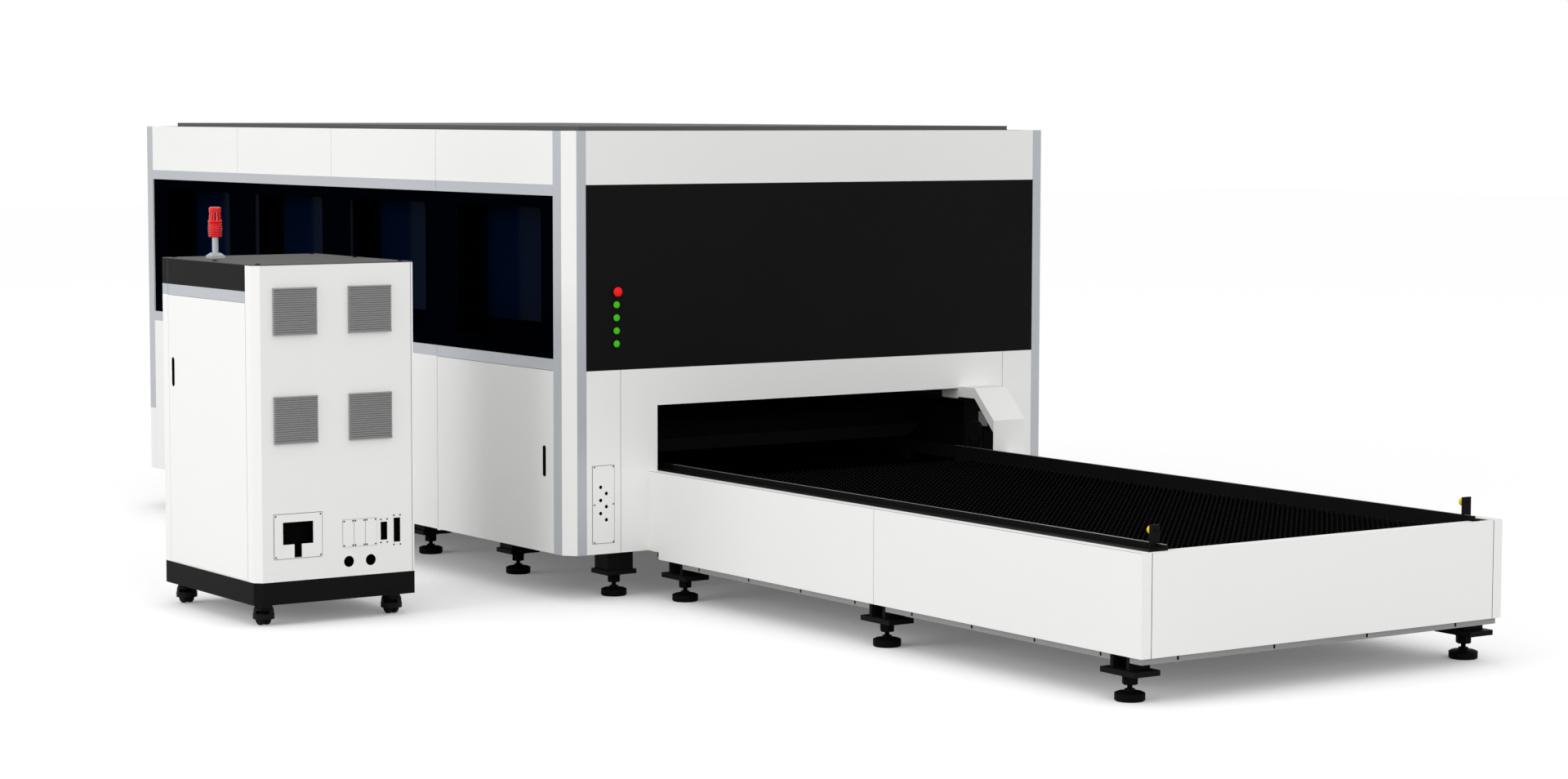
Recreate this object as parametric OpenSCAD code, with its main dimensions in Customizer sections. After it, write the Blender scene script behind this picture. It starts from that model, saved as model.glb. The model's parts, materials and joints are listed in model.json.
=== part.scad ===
// Enclosed fiber laser cutting machine with a two-pallet exchange table and a free-standing control cabinet.
// Millimetres, +Z up, +X towards the exchange table, -Y towards the operator.
// Pieces are drawn with x = 0 at the end wall, y = 0 on the centreline and z = 0 on the floor,
// then moved so that the origin lies at the middle of the footprint.

/* [Enclosure] */
// Length of the enclosure
enc_len = 4650; // [4500:10:5200]
// Outer width of the enclosure
enc_w = 2750; // [2700:10:3000]
// Height of the panels' lower edge
panel_z0 = 213; // [205:1:235]
// Height of the panels' upper edge
panel_z1 = 2128; // [2080:1:2250]
// Panel fields along each long side
fields = 4; // [3:1:5]
// Depth of a panel's folded edges
fold = 30; // [22:1:34]
// Thickness of the panel sheet
sheet = 2; // [1:0.5:3]
// Gap between neighbouring panels
seam = 2; // [1.5:0.5:4]
// Width of a corner post along the long side
post_side = 128; // [115:1:150]
// Width of a corner post along the end wall
post_end = 95.5; // [85:0.5:110]
// Corner chamfer along the long side
chamfer_side = 56; // [40:1:70]
// Corner chamfer along the end wall
chamfer_end = 47; // [35:1:60]
// Thickness of the aluminium strips on the posts
strip_t = 3; // [2:0.5:5]
// Lower end of the far posts' side strips
far_strip_z = 552; // [400:1:700]
// Lower edge of the lower side rail
rail_low_z = 1047; // [1040:1:1090]
// Height of the lower side rail
rail_low_h = 52; // [44:1:60]
// Lower edge of the upper side rail
rail_up_z = 1836; // [1820:1:1850]
// Height of the upper side rail
rail_up_h = 50; // [44:1:60]
// Distance of the roof plates from the outer faces
roof_inset = 145; // [120:1:148]
// Thickness of the roof plates
roof_t = 20; // [12:1:30]

/* [Skeleton] */
// Side of the square tubes
tube_w = 60; // [50:1:70]
// Wall of the tubes
tube_t = 4; // [3:0.5:6]
// Width of the roof ring tubes
rim_w = 120; // [100:1:130]
// Thickness of the ledges that carry the inner window sheets
ledge_t = 4; // [3:0.5:8]

/* [Windows] */
// Height of a window opening
win_h = 610; // [540:5:620]
// Corner radius of a window opening
win_r = 30; // [15:1:60]
// Distance of an opening from the field edge nearer the table
win_edge = 117; // [60:1:160]
// Distance of an opening from the field edge farther from the table
win_far = 181; // [120:1:220]
// Height of an opening's lower edge
win_z = 1170; // [1150:1:1200]
// Height of the inner sheet's panes
pane_h = 540; // [480:5:560]
// Height of a pane's lower edge
pane_z = 1240; // [1200:1:1260]
// Depth of the inner sheet behind the outer face
liner_depth = 178; // [150:1:182]
// Recess of the window band behind the rails
band_recess = 6; // [3:0.5:10]
// Thickness of a window sheet
band_t = 6; // [5:0.5:8]
// Thickness of a pane
pane_t = 4; // [3:0.5:5]

/* [Portal] */
// Width of the corner panels beside the portal
corner_w = 181.5; // [160:0.5:200]
// Distance of the pallet opening's edge inside the table's side
opening_in = 50; // [40:1:52]
// Top of the pallet opening
opening_top = 878; // [860:1:920]

/* [Buttons] */
// Distance of the button row from the enclosure's side
button_in = 252; // [200:1:360]
// Height of the emergency stop
estop_z = 1403; // [1390:1:1500]
// Height of the uppermost green button
green_z = 1344; // [1300:1:1346]
// Spacing of the green buttons
green_pitch = 59; // [48:1:70]
// Radius of the emergency stop's mushroom head
estop_r = 21.5; // [18:0.5:25]
// Radius of a green button
green_r = 15.5; // [12.5:0.5:16]
// Radius of a button bezel
bezel_r = 19.5; // [18:0.5:22]
// Height of a bezel above the panel
bezel_h = 6; // [5:0.5:8]
// Outer radius of a bezel's threaded neck
neck_r = 11; // [10:0.5:12]
// Length of a bezel's neck behind the panel face
neck_len = 28; // [24:1:40]
// Radius of a button's plunger
plunger_r = 6; // [4:0.5:8]
// Travel of the emergency stop
estop_travel = 5; // [3:0.5:6]
// Travel of a green button
green_travel = 4; // [2:0.5:4.5]

/* [Gland plate] */
// Distance of the gland plate's middle from the enclosure's side
gland_in = 184; // [178:1:194]
// Lower edge of the gland plate
gland_z = 263; // [240:1:300]
// Width of the gland plate
gland_w = 113; // [100:1:130]
// Height of the gland plate
gland_h = 352; // [300:1:400]
// Radius of a gland hole
gland_hole_r = 8.5; // [6:0.5:10]

/* [Service door] */
// Radius of the hinge pins
hinge_r = 3; // [2.5:0.1:3.5]
// Distance of the hinge axis from the door's edge and face
hinge_in = 5; // [4.5:0.1:6]
// Width of a flush pull
pull_w = 29; // [22:1:36]
// Height of the service door's flush pull
pull_h = 144; // [110:1:180]
// Depth of a flush pull
pull_depth = 18; // [12:1:20]
// Distance of the service door's pull from the door's free edge
pull_edge = 84; // [60:1:120]

/* [Bed] */
// Distance of a bed beam's inner face outside the table's side
bed_out = 9; // [4:1:20]
// Width of a bed beam
bed_w = 200; // [160:5:210]
// Top of the bed beams
bed_top = 780; // [770:1:795]
// Wall of the bed beams
bed_wall = 12; // [8:1:20]
// Distance of the bed's ends from the end walls
bed_end = 100; // [96:1:130]
// Number of feet along each bed beam
bed_feet = 6; // [4:1:8]
// Distance of the outermost bed feet from the end walls
bed_foot_end = 125; // [110:1:240]

/* [Gantry] */
// Width of an X guide rail
guide_w = 30; // [20:1:40]
// Height of an X guide rail
guide_h = 30; // [20:1:40]
// Height of the guide blocks above the rail
block_h = 40; // [30:1:60]
// Distance of the parked gantry's middle from the far end wall
gantry_park = 550; // [500:1:650]
// Width of the gantry beam along X
gantry_w = 300; // [240:5:320]
// Height of the gantry beam
gantry_h = 250; // [200:5:300]
// Wall of the gantry beam
gantry_wall = 10; // [6:1:16]
// Width of the Y carriage
carriage_w = 260; // [200:5:300]
// Length of the Z slide
slide_len = 520; // [480:5:600]
// Height of the raised nozzle's tip
nozzle_z = 850; // [840:1:870]
// Width of a rack beside an X guide rail
rack_w = 20; // [16:1:24]
// Distance of a rack from the bed beam's outer face
rack_in = 5; // [2:0.5:8]
// Length of a gantry gearbox along X
gearbox_l = 120; // [100:1:130]
// Width of a gantry gearbox
gearbox_w = 90; // [80:1:100]
// Height of a gantry gearbox
gearbox_h = 100; // [80:1:120]
// Height of a gantry motor
servo_h = 170; // [140:5:200]
// Radius of a gantry pinion
pinion_r = 25; // [20:0.5:28]

/* [Exchange table] */
// Length of the table beyond the end wall
table_len = 3458; // [3450:1:3700]
// Distance of the table's side from the enclosure's side
table_in_by = 424; // [400:1:430]
// Lower edge of the table panels
table_z0 = 179.5; // [170:0.5:190]
// Upper edge of the table panels
table_z1 = 578; // [565:1:590]
// Depth of the table panels' folded edges
table_fold = 49; // [40:1:50]
// Place of the seam in the side panels
table_seam = 1756; // [1500:1:2000]
// Length of the notch at the side panels' root
notch_len = 88; // [60:1:120]
// Height of the strip under the panels
trim_h = 25; // [15:1:30]
// Inset of the strip under the panels
trim_inset = 15; // [8:1:25]
// Thickness of the strip under the panels
trim_t = 12; // [6:1:20]
// Place of the first table foot
table_foot_x = 211; // [180:1:260]
// Distance of the last table foot from the table's outer face
table_foot_end = 140; // [110:1:200]
// Number of feet along each table side
table_feet = 3; // [2:1:5]

/* [Tracks] */
// Top of the upper tracks' rails
track_z = 600; // [595:1:610]
// Distance of the upper tracks' inner edge from the table's side
track_in = 145; // [139:1:147]
// Width of the upper tracks
track_w = 92; // [70:1:93]
// Width of the rail along an upper track's inner edge
rail_w = 14; // [13.5:0.5:18]
// Height of a track
track_h = 40; // [30:1:50]
// Top of the lower tracks
low_track_z = 395; // [380:1:400]
// Width of the lower tracks
low_track_w = 50; // [40:1:56]
// Distance between the upper and lower tracks' facing edges
track_step = 11; // [9:1:14]
// Distance of the tracks' inner end from the bed's far end
track_setback = 990; // [960:5:1050]
// End of the tracks before the table's outer face
track_short = 23; // [10:1:23]
// Distance of an end stop's middle from the track's inner edge
stop_in = 19; // [16:1:40]
// Width of an end stop
stop_w = 46; // [36:1:50]
// Length of an end stop's base
stop_base = 60; // [50:1:80]
// Height of an end stop above the track
stop_h = 71; // [66:1:90]

/* [Pallets] */
// Length of a pallet
pallet_len = 3200; // [3100:10:3210]
// Distance of the inner pallet's front from the end wall
pallet_in = 280; // [270:1:300]
// Play between the pallet outside and the end stops
pallet_play = 2; // [1:0.5:5]
// Underside of a pallet frame above its track
pallet_rise = 30; // [24:1:34]
// Height of a pallet frame
pallet_h = 60; // [50:1:64]
// Length of the end beams along X
beam_w = 50; // [30:1:70]
// Height of a slat
slat_h = 65; // [50:1:68]
// Thickness of a slat
slat_t = 4; // [3:0.5:6]
// Number of slats on a pallet
slats = 54; // [32:1:54]
// Teeth along a slat
teeth = 26; // [16:1:26]
// Depth of the teeth
tooth_h = 18; // [10:1:24]
// Radius of a pallet wheel
wheel_r = 25; // [20:1:28]
// Wheels along each side of a pallet
wheels = 7; // [4:1:9]
// Width of an upper pallet's wheel
upper_wheel_w = 13; // [10:0.5:13]

/* [Exchange drive] */
// Place of the drive shaft from the end wall
shaft_x = 100; // [95:1:110]
// Distance of the idler sprockets from the tracks' outer end
idler_in = 105; // [100:1:140]
// Height of the drive shaft
shaft_z = 300; // [298:1:302]
// Radius of the drive shaft
shaft_r = 20; // [15:0.5:22]
// Radius of a sprocket
sprocket_r = 50; // [44:0.5:50]
// Thickness of a sprocket
sprocket_t = 14; // [8:0.5:15]
// Thickness of a chain along its own plane
chain_h = 8; // [5:0.5:9]
// Height of the motor sprocket
motor_z = 668; // [662:1:680]
// Reach of the guard beyond the end wall
guard_x = 280; // [270:1:300]
// Length of the guard's flat top
guard_top_x = 130; // [115:1:150]
// Top of the guard
guard_z = 886; // [880:1:930]
// Height where the guard's slope begins
guard_slope_z = 740; // [735:1:760]
// Distance of the guard's inner face from the table's side
guard_in = 124; // [121:1:126]
// Width of the guard
guard_w = 193; // [180:1:200]
// Width of the guard's inner flange
guard_flange = 50; // [30:1:60]
// Reach of the guard's flange into the opening
guard_tongue = 130; // [80:1:140]

/* [Feet] */
// Radius of a foot pad
pad_r = 59; // [48:1:62]
// Height of a foot pad
pad_h = 38; // [25:1:40]
// Radius of a foot stud
stud_r = 10.5; // [8:0.5:14]
// Lower face of a foot's hexagon nut
nut_z = 62; // [56:1:66]
// Radius of the nut over its corners
nut_r = 32; // [24:1:36]
// Lower face of the bracket plates
foot_plate_z = 103; // [98:1:110]
// Thickness of the bracket plates
foot_plate_t = 21; // [12:1:25]
// Length of a bed foot's bracket plate
bed_plate_l = 140; // [130:1:160]
// Width of a bed foot's bracket plate
bed_plate_w = 158; // [140:1:180]
// Length of a table foot's bracket plate
table_plate_l = 200; // [160:1:220]
// Width of a table foot's bracket plate
table_plate_w = 128; // [116:1:134]
// Length of a table foot's bracket block
table_block_l = 110; // [90:1:130]
// Margin of a bracket plate round its block
plate_margin = 12; // [6:1:20]

/* [Cabinet] */
// Length of the cabinet along X
cab_len = 938; // [900:1:1000]
// Depth of the cabinet along Y
cab_depth = 763; // [740:1:820]
// Distance of the cabinet from the end wall's plane
cab_x = 113; // [60:1:160]
// Gap between the cabinet and the enclosure
cab_gap = 722; // [715:1:800]
// Height of the castors
castor_h = 94.6; // [90:0.1:104]
// Height of the plinth
plinth_h = 98.8; // [80:0.1:120]
// Top of the cabinet
cab_top = 1560; // [1540:1:1650]
// Chamfer of the cabinet's front corner
cab_chamfer = 30; // [20:1:40]
// Width of the cabinet's front corner beside the door
cab_stile = 82; // [70:1:100]
// Width of the cabinet's front stile on the handle side
cab_left = 57; // [40:1:70]
// Height of the black band at the top
cab_band_h = 116; // [90:1:130]
// Height of the strip below the black band
cab_strip_h = 48; // [36:1:60]
// Depth of the cabinet door's folded edges
cab_fold = 25; // [20:1:30]
// Thickness of the cabinet's sheet
cab_sheet = 2.5; // [2:0.5:3]
// Height of the cabinet door's pull
cab_pull_h = 132; // [100:1:160]
// Height of the pull's middle
cab_pull_z = 1052; // [900:1:1150]
// Distance of the pull from the door's free edge
cab_pull_edge = 45; // [40:1:80]
// Side of a filter grille
grille_w = 204; // [180:1:210]
// Height of a grille above the cabinet's face
grille_h = 18; // [10:1:25]
// Louvres on a grille
louvres = 20; // [12:1:22]
// Middle of the grilles nearer the door, from the cabinet's front
grille_front = 190; // [170:1:200]
// Spacing of the grilles along the cabinet's depth
grille_step = 358; // [340:1:380]
// Middle of the lower grilles
grille_z = 891; // [860:1:900]
// Spacing of the grilles in height
grille_rise = 467; // [440:1:480]
// Radius of the cable holes
cable_r = 24.5; // [18:0.5:28]
// Margin of the gear's mounting plate from the cabinet's sides
gear_margin = 60; // [40:1:80]
// Distance of the mounting plate from the cabinet's back
gear_back = 60; // [40:1:80]
// Height of the laser source
source_h = 440; // [380:5:460]
// Depth of the laser source
source_d = 480; // [400:5:500]
// Width of a servo drive
servo_w = 140; // [110:1:150]
// Height of a servo drive
servo_drive_h = 180; // [150:1:220]
// Width of a breaker
breaker_w = 50; // [36:1:56]
// Height of a breaker
breaker_h = 90; // [70:1:110]

/* [Castors] */
// Distance of a castor's middle from the cabinet's faces
castor_in = 72; // [60:1:90]
// Radius of a castor wheel
castor_r = 31; // [26:0.5:33]
// Width of one castor wheel
castor_w = 22; // [16:0.5:24]
// Trail of a castor
castor_trail = 16; // [10:1:18]
// Radius of a castor's hood
hood_r = 46; // [44:0.5:50]
// Radius of a castor's stem
stem_r = 6; // [5:0.5:8]
// Radius of a castor's axle
axle_r = 5; // [4:0.5:6]

/* [Signal lamp] */
// Side of the lamp's base
lamp_base = 65; // [50:1:80]
// Height of the lamp's base
lamp_base_h = 24; // [16:1:30]
// Radius of the lamp's pole
lamp_pole_r = 14; // [10:0.5:18]
// Height of the lamp's pole
lamp_pole_h = 70; // [50:1:120]
// Radius of the lamp's lens
lamp_r = 32; // [26:0.5:36]
// Height of the lamp's lens
lamp_h = 134; // [110:1:160]
// Place of the lamp from the cabinet's handle side
lamp_x = 216; // [120:1:300]
// Place of the lamp from the cabinet's front
lamp_y = 160; // [100:1:220]

/* [Hidden] */
$fn = 48;

// Finishes
white = "#f2f2f0";
silver = "#bbbec4";
black = "#181818";
dark = "#2e2e2e";
grey = "#969696";
steel = "#8a8d92";
navy = "#000614";

// Clearances
weld = 0.3;
fit = 0.05;
run = 0.5;
over = 1;

// Enclosure levels and places
half_w = enc_w / 2;
field_w = (enc_len - 2 * post_side) / fields;
win_w = field_w - win_edge - win_far;
fascia_z = rail_up_z + rail_up_h;
band_z = rail_low_z + rail_low_h;
back = half_w - fold;
end_half = half_w - post_end;
frame_bottom = panel_z0 + tube_w;
frame_top = panel_z1 - tube_w;
portal_half = end_half - corner_w;
button_y = half_w - button_in;
gland_y = half_w - gland_in;
roof_w = (enc_len - 2 * roof_inset) / fields;

// Table, track and guard places across the machine
table_half = half_w - table_in_by;
opening_half = table_half - opening_in;
track_y = table_half - track_in;
stop_y = track_y + stop_in;
guard_y = table_half - guard_in;

// Ledges behind the side rails
ledge_in = (rail_low_h + ledge_t) / 2 - weld;

// Bed and gantry levels
bed_y = table_half + bed_out;
bed_mid = bed_y + bed_w / 2;
guide_top = bed_top + guide_h;
gantry_z = guide_top + weld + block_h + weld;
gantry_x = -enc_len + gantry_park;
gantry_front = gantry_x + gantry_w / 2;
gantry_half = bed_y + bed_w;
y_rail = 20;
carriage_t = 30;
carriage_x = gantry_front + y_rail + weld;
slide_x = carriage_x + carriage_t + weld;
slide_t = 60;
slide_w = 120;
head_x = slide_x + slide_t + weld;
head_r = 40;
slide_z = nozzle_z + 60;

// Table, track and pallet places
track_end = table_len - track_short;
track_floor = table_z1;
track_base = track_floor - track_h;
low_track_y = track_y - track_step - low_track_w;
inner_end = -enc_len + bed_end + track_setback;
table_in = table_half - table_fold;
beam_y = table_in - tube_w;
table_beam_top = table_z0 + tube_w;
cross_top = panel_z0 + tube_w;
stop_x = track_end - stop_base;
idler_x = track_end - idler_in;
stop_t = 8;
bumper_len = 32;
bumper_r = 17;
bumper_stem = 5;
bumper_stem_r = 3;
bumper_z = track_z + stop_h - bumper_r - 4;
out_end = stop_x - bumper_len - pallet_play;
pallet_travel = out_end + pallet_in;
upper_rail = track_y - 6;
lower_rail = low_track_y - 3;
post_first = 300;
post_places = [for (k = [0:4]) post_first + k * (idler_x - post_first) / 4];
stand_first = 420;
stand_last = table_len - 578;
stand_places = [for (k = [0:3]) stand_first + k * (stand_last - stand_first) / 3];

// Exchange drive places
chain_y = guard_y + 21;
long_chain_y = chain_y + sprocket_t + 6;
bearing_y = track_y + 12;
bearing_t = 24;

// Cabinet places
cab_right = -cab_x;
cab_left_x = cab_right - cab_len;
cab_back = -half_w - cab_gap;
cab_front = cab_back - cab_depth;
cab_z0 = castor_h + plinth_h;
cab_band_z = cab_top - cab_band_h;
cab_strip_z = cab_band_z - cab_strip_h;
cab_cap_t = 4;
door_x0 = cab_left_x + cab_left;
door_x1 = cab_right - cab_stile;
cab_floor = cab_z0 + cab_sheet;

// The finished part's origin is the middle of its footprint
origin_x = (enc_len - table_len) / 2;
origin_y = (-cab_front - half_w) / 2;

// Shared shapes

module place() translate([origin_x, origin_y, 0]) children();

module slab(a, b) translate(a) cube(b - a);

module tube(a, b, along, wall = tube_t) {
    inset = [for (i = [0:2]) i == along ? -over : wall];
    difference() {
        slab(a, b);
        slab(a + inset, b - inset);
    }
}

module both_sides() {
    children();
    mirror([0, 1, 0]) children();
}

module far_end() translate([-enc_len, 0, 0]) mirror([1, 0, 0]) children();

module both_ends() {
    children();
    far_end() children();
}

// Folded sheet with its face on the plane y = 0 and its edges turned to +y
module tray(w, h, depth = fold, t = sheet) difference() {
    cube([w, depth, h]);
    translate([t, t, t]) cube([w - 2 * t, depth, h - 2 * t]);
}

module side_tray(x, z, w, h) translate([x, -half_w, z]) tray(w, h);

module end_tray(y, z, w, h) translate([0, y, z]) rotate([0, 0, 90]) tray(w, h);

function field_x(k) = -post_side - k * field_w;

module field_tray(k, z0, z1) side_tray(field_x(k + 1) + seam / 2, z0, field_w - seam, z1 - z0);

module round_rect(w, h, r) {
    translate([r, 0]) square([w - 2 * r, h]);
    translate([0, r]) square([w, h - 2 * r]);
    for (x = [r, w - r], y = [r, h - r]) translate([x, y]) circle(r);
}

module stadium(length, r) {
    translate([-length / 2, -r]) square([length, 2 * r]);
    for (s = [-1, 1]) translate([s * length / 2, 0]) circle(r);
}

// Cylinders along the X and Y axes, from a start point
module rod_x(p, r, length) translate(p) rotate([0, 90, 0]) cylinder(r = r, h = length);

module rod_y(p, r, length) translate(p) rotate([-90, 0, 0]) cylinder(r = r, h = length);

// Profile in X and Z, extruded along +Y from y0
module along_y(y0, length) translate([0, y0 + length, 0]) rotate([90, 0,
    0]) linear_extrude(length) children();

// Enclosure

module side_skeleton() {
    slab_in = back - tube_w;
    tube([field_x(fields), -back, panel_z0], [-post_side, -slab_in, frame_bottom], 0);
    tube([-enc_len + fold + rim_w + weld, -back, frame_top], [-fold - rim_w - weld, -back + rim_w,
        panel_z1], 0);
    for (k = [1:fields - 1])
        tube([field_x(k) - tube_w / 2, -back, frame_bottom + weld],
            [field_x(k) + tube_w / 2, -slab_in, frame_top - weld], 2);
    for (k = [0:fields - 1], mid = [rail_low_z + rail_low_h / 2, rail_up_z + rail_up_h / 2]) {
        x1 = k == 0 ? -post_side : field_x(k) - tube_w / 2 - weld;
        x0 = k == fields - 1 ? field_x(fields) : field_x(k + 1) + tube_w / 2 + weld;
        tube([x0, -back, mid - tube_w / 2], [x1, -slab_in, mid + tube_w / 2], 0);
        slab([x0, -slab_in + weld, mid - ledge_t / 2], [x1, -half_w + liner_depth, mid + ledge_t / 2]);
    }
    for (k = [0:fields]) {
        x = k == 0 ? -post_side - tube_w : k == fields ? field_x(fields) + tube_w : field_x(k);
        tube([x - tube_w / 2, -slab_in + weld, panel_z0], [x + tube_w / 2, -bed_y - bed_w, frame_bottom],
            1);
    }
}

module end_skeleton() {
    depth = -fold - tube_w;
    tube([-fold - rim_w, -end_half, frame_top], [-fold, end_half, panel_z1], 1);
    for (mid = [rail_low_z, fascia_z])
        tube([depth, -end_half, mid - tube_w / 2], [-fold, end_half, mid + tube_w / 2], 1);
    both_sides() {
        tube([depth, -end_half, panel_z0], [-fold, -opening_half - sheet, frame_bottom], 1);
        tube([depth, -portal_half - tube_w / 2, frame_bottom + weld],
            [-fold, -portal_half + tube_w / 2, rail_low_z - tube_w / 2 - weld], 2);
    }
}

module enclosure_frame() color(black) place() {
    both_sides() side_skeleton();
    both_ends() end_skeleton();
    for (k = [1:fields - 1])
        tube([-roof_inset - k * roof_w - tube_w / 2, -back + rim_w + weld, frame_top],
            [-roof_inset - k * roof_w + tube_w / 2, back - rim_w - weld, panel_z1], 1);
}

module side_strip(z0, z1) slab([-post_side, -half_w, z0], [-chamfer_side, -half_w + strip_t, z1]);

module corner_post() translate([0, -half_w, panel_z0]) linear_extrude(panel_z1 - panel_z0)
    polygon([[-chamfer_side, 0], [0, chamfer_end], [-strip_t, chamfer_end], [-strip_t, post_end],
        [-post_side, post_end], [-post_side, strip_t], [-chamfer_side, strip_t]]);

module corner_posts() color(white) place() both_sides() {
    corner_post();
    far_end() {
        corner_post();
        side_strip(panel_z0, far_strip_z);
    }
}

module side_rail(z, h) {
    tube([field_x(1) + seam / 2, -half_w, z], [-post_side - weld, -back, z + h], 0, strip_t);
    tube([field_x(fields) + weld, -half_w, z], [field_x(1) - seam / 2, -back, z + h], 0, strip_t);
}

module trim_strips() color(silver) place() {
    both_sides() {
        side_strip(panel_z0, panel_z1);
        far_end() side_strip(far_strip_z, panel_z1);
        both_ends() slab([-strip_t, -half_w + chamfer_end, panel_z0], [0, -end_half, panel_z1]);
        side_rail(rail_low_z, rail_low_h);
        side_rail(rail_up_z, rail_up_h);
    }
    slab([cab_left_x, cab_front, cab_strip_z], [door_x1, cab_front + cab_fold, cab_band_z]);
}

module fascia_panels() color(white) place() {
    both_sides() for (k = [0:fields - 1]) field_tray(k, fascia_z, panel_z1);
    both_ends() end_tray(-end_half + seam / 2, fascia_z, 2 * end_half - seam, panel_z1 - fascia_z);
}

module corner_panel() end_tray(-end_half + seam / 2, panel_z0, corner_w - seam, rail_low_z - panel_z0);

module lower_panels() color(white) place() {
    for (k = [1:fields - 1]) field_tray(k, panel_z0, rail_low_z);
    mirror([0, 1, 0]) for (k = [0:fields - 1]) field_tray(k, panel_z0, rail_low_z);
    difference() {
        corner_panel();
        slab([-fold, -gland_y - gland_w / 2 + 20, gland_z + 60], [over, -gland_y + gland_w / 2 - 20,
            gland_z + gland_h - 60]);
    }
    mirror([0, 1, 0]) corner_panel();
    far_end() {
        both_sides() corner_panel();
        end_tray(-portal_half + seam / 2, panel_z0, 2 * portal_half - seam, rail_low_z - panel_z0);
    }
}

// Inverted U with every edge moved inwards by t
module portal_outline(t) {
    outer = portal_half - seam / 2 - t;
    inner = opening_half + t;
    polygon([[-outer, panel_z0 + t], [-inner, panel_z0 + t], [-inner, opening_top + t], [inner,
        opening_top + t],
        [inner, panel_z0 + t], [outer, panel_z0 + t], [outer, rail_low_z - t], [-outer, rail_low_z - t]]);
}

module portal_panel() color(white) place() rotate([90, 0, 90]) difference() {
    translate([0, 0, -fold]) linear_extrude(fold) portal_outline(0);
    translate([0, 0, -fold - sheet]) linear_extrude(fold) portal_outline(sheet);
}

button_zs = [estop_z, for (k = [0:3]) green_z - k * green_pitch];

module black_panel() end_tray(-end_half + seam / 2, rail_low_z, 2 * end_half - seam, fascia_z - rail_low_z);

module black_end_panels() color(black) place() {
    difference() {
        black_panel();
        for (z = button_zs) rod_x([-sheet - over, -button_y, z], neck_r + weld, sheet + 2 * over);
    }
    far_end() black_panel();
}

module in_band(k, depth, t) translate([field_x(k + 1), -half_w + depth + t, 0]) rotate([90, 0, 0])
    linear_extrude(t) children();

module window_outline(z, h, gap = 0) translate([win_far + gap, z + gap])
    round_rect(win_w - 2 * gap, h - 2 * gap, win_r - gap);

// Outer sheet between the rails, and an inner sheet on the ledges behind them
module window_bands() color(black) place() both_sides() for (k = [0:fields - 1]) {
    in_band(k, band_recess, band_t) difference() {
        translate([seam / 2, band_z]) square([field_w - seam, rail_up_z - band_z]);
        window_outline(win_z, win_h);
    }
    in_band(k, liner_depth, band_t) difference() {
        translate([tube_w / 2 + seam, band_z - ledge_in])
            square([field_w - tube_w - 2 * seam, rail_up_z - band_z + 2 * ledge_in]);
        window_outline(pane_z, pane_h);
    }
}

module window_panes() color(navy) place() both_sides() for (k = [0:fields - 1])
    in_band(k, liner_depth + (band_t - pane_t) / 2, pane_t) window_outline(pane_z, pane_h, weld);

module roof_panels() color(grey) place() for (k = [0:fields - 1])
    slab([-roof_inset - (k + 1) * roof_w + seam / 2, -half_w + roof_inset, panel_z1],
        [-roof_inset - k * roof_w - seam / 2, half_w - roof_inset, panel_z1 + roof_t]);

// Plates on the end wall and on the cabinet's end

plate_t = 2;
socket_z = 292;
socket_h = 192;
socket_in = 85;
socket_w = 227;
blank_in = socket_in + socket_w + 100;
blank_w = 55;
blank_z = 322;
blank_h = 119;

module gland_plate() difference() {
    slab([0, -gland_y - gland_w / 2, gland_z], [plate_t, -gland_y + gland_w / 2, gland_z + gland_h]);
    for (k = [0:5])
        rod_x([-over, -gland_y + (k % 2 == 0 ? 15 : -15), gland_z + gland_h * 0.3 + k * 30],
            gland_hole_r, plate_t + 2 * over);
}

module socket_plate() difference() {
    slab([cab_right, cab_front + socket_in, socket_z], [cab_right + plate_t,
        cab_front + socket_in + socket_w, socket_z + socket_h]);
    socket_cut();
}

module socket_cut() {
    y = cab_front + socket_in;
    slab([cab_right - 20, y + 41, socket_z + 60], [cab_right + 20, y + 186, socket_z + 157]);
    slab([cab_right - 20, y + 95, socket_z + 2], [cab_right + 20, y + 131, socket_z + 60 + over]);
}

module connector_plates() color(white) place() {
    gland_plate();
    socket_plate();
    for (k = [0:2])
        slab([cab_right, cab_front + blank_in + k * blank_w + seam / 2, blank_z],
            [cab_right + plate_t, cab_front + blank_in + (k + 1) * blank_w - seam / 2, blank_z + blank_h]);
}

// Buttons

module bezel(z) translate([0, -button_y, z]) rotate([0, 90, 0]) difference() {
    union() {
        cylinder(r = bezel_r, h = bezel_h);
        translate([0, 0, -neck_len]) cylinder(r = neck_r, h = neck_len);
    }
    translate([0, 0, -neck_len - over]) cylinder(r = plunger_r + fit, h = neck_len + bezel_h + 2 * over);
    translate([0, 0, over / 2]) cylinder(r = green_r + run, h = bezel_h);
}

module button_bezels() color(dark) place() for (z = button_zs) bezel(z);

module plunger(z, h) rod_x([-neck_len, -button_y, z], plunger_r, neck_len + h);

module emergency_stop() color("red") place() {
    lift = bezel_h + estop_travel + over;
    plunger(estop_z, lift + over);
    translate([lift, -button_y, estop_z]) rotate([0, 90, 0]) rotate_extrude()
        polygon([[0, 0], [estop_r - 5, 0], [estop_r, 4], [estop_r, 10], [estop_r - 4, 14], [0, 16]]);
}

module start_button(k) color("limegreen") place() {
    z = green_z - k * green_pitch;
    lift = over / 2 + green_travel + run;
    plunger(z, lift + over);
    translate([lift, -button_y, z]) rotate([0, 90, 0]) rotate_extrude()
        polygon([[0, 0], [green_r, 0], [green_r, bezel_h - 1], [green_r - 2.5, bezel_h + 1], [0,
            bezel_h + 2]]);
}

module start_button_1() start_button(0);
module start_button_2() start_button(1);
module start_button_3() start_button(2);
module start_button_4() start_button(3);

// Service door, hinged at the end of the first field

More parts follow.
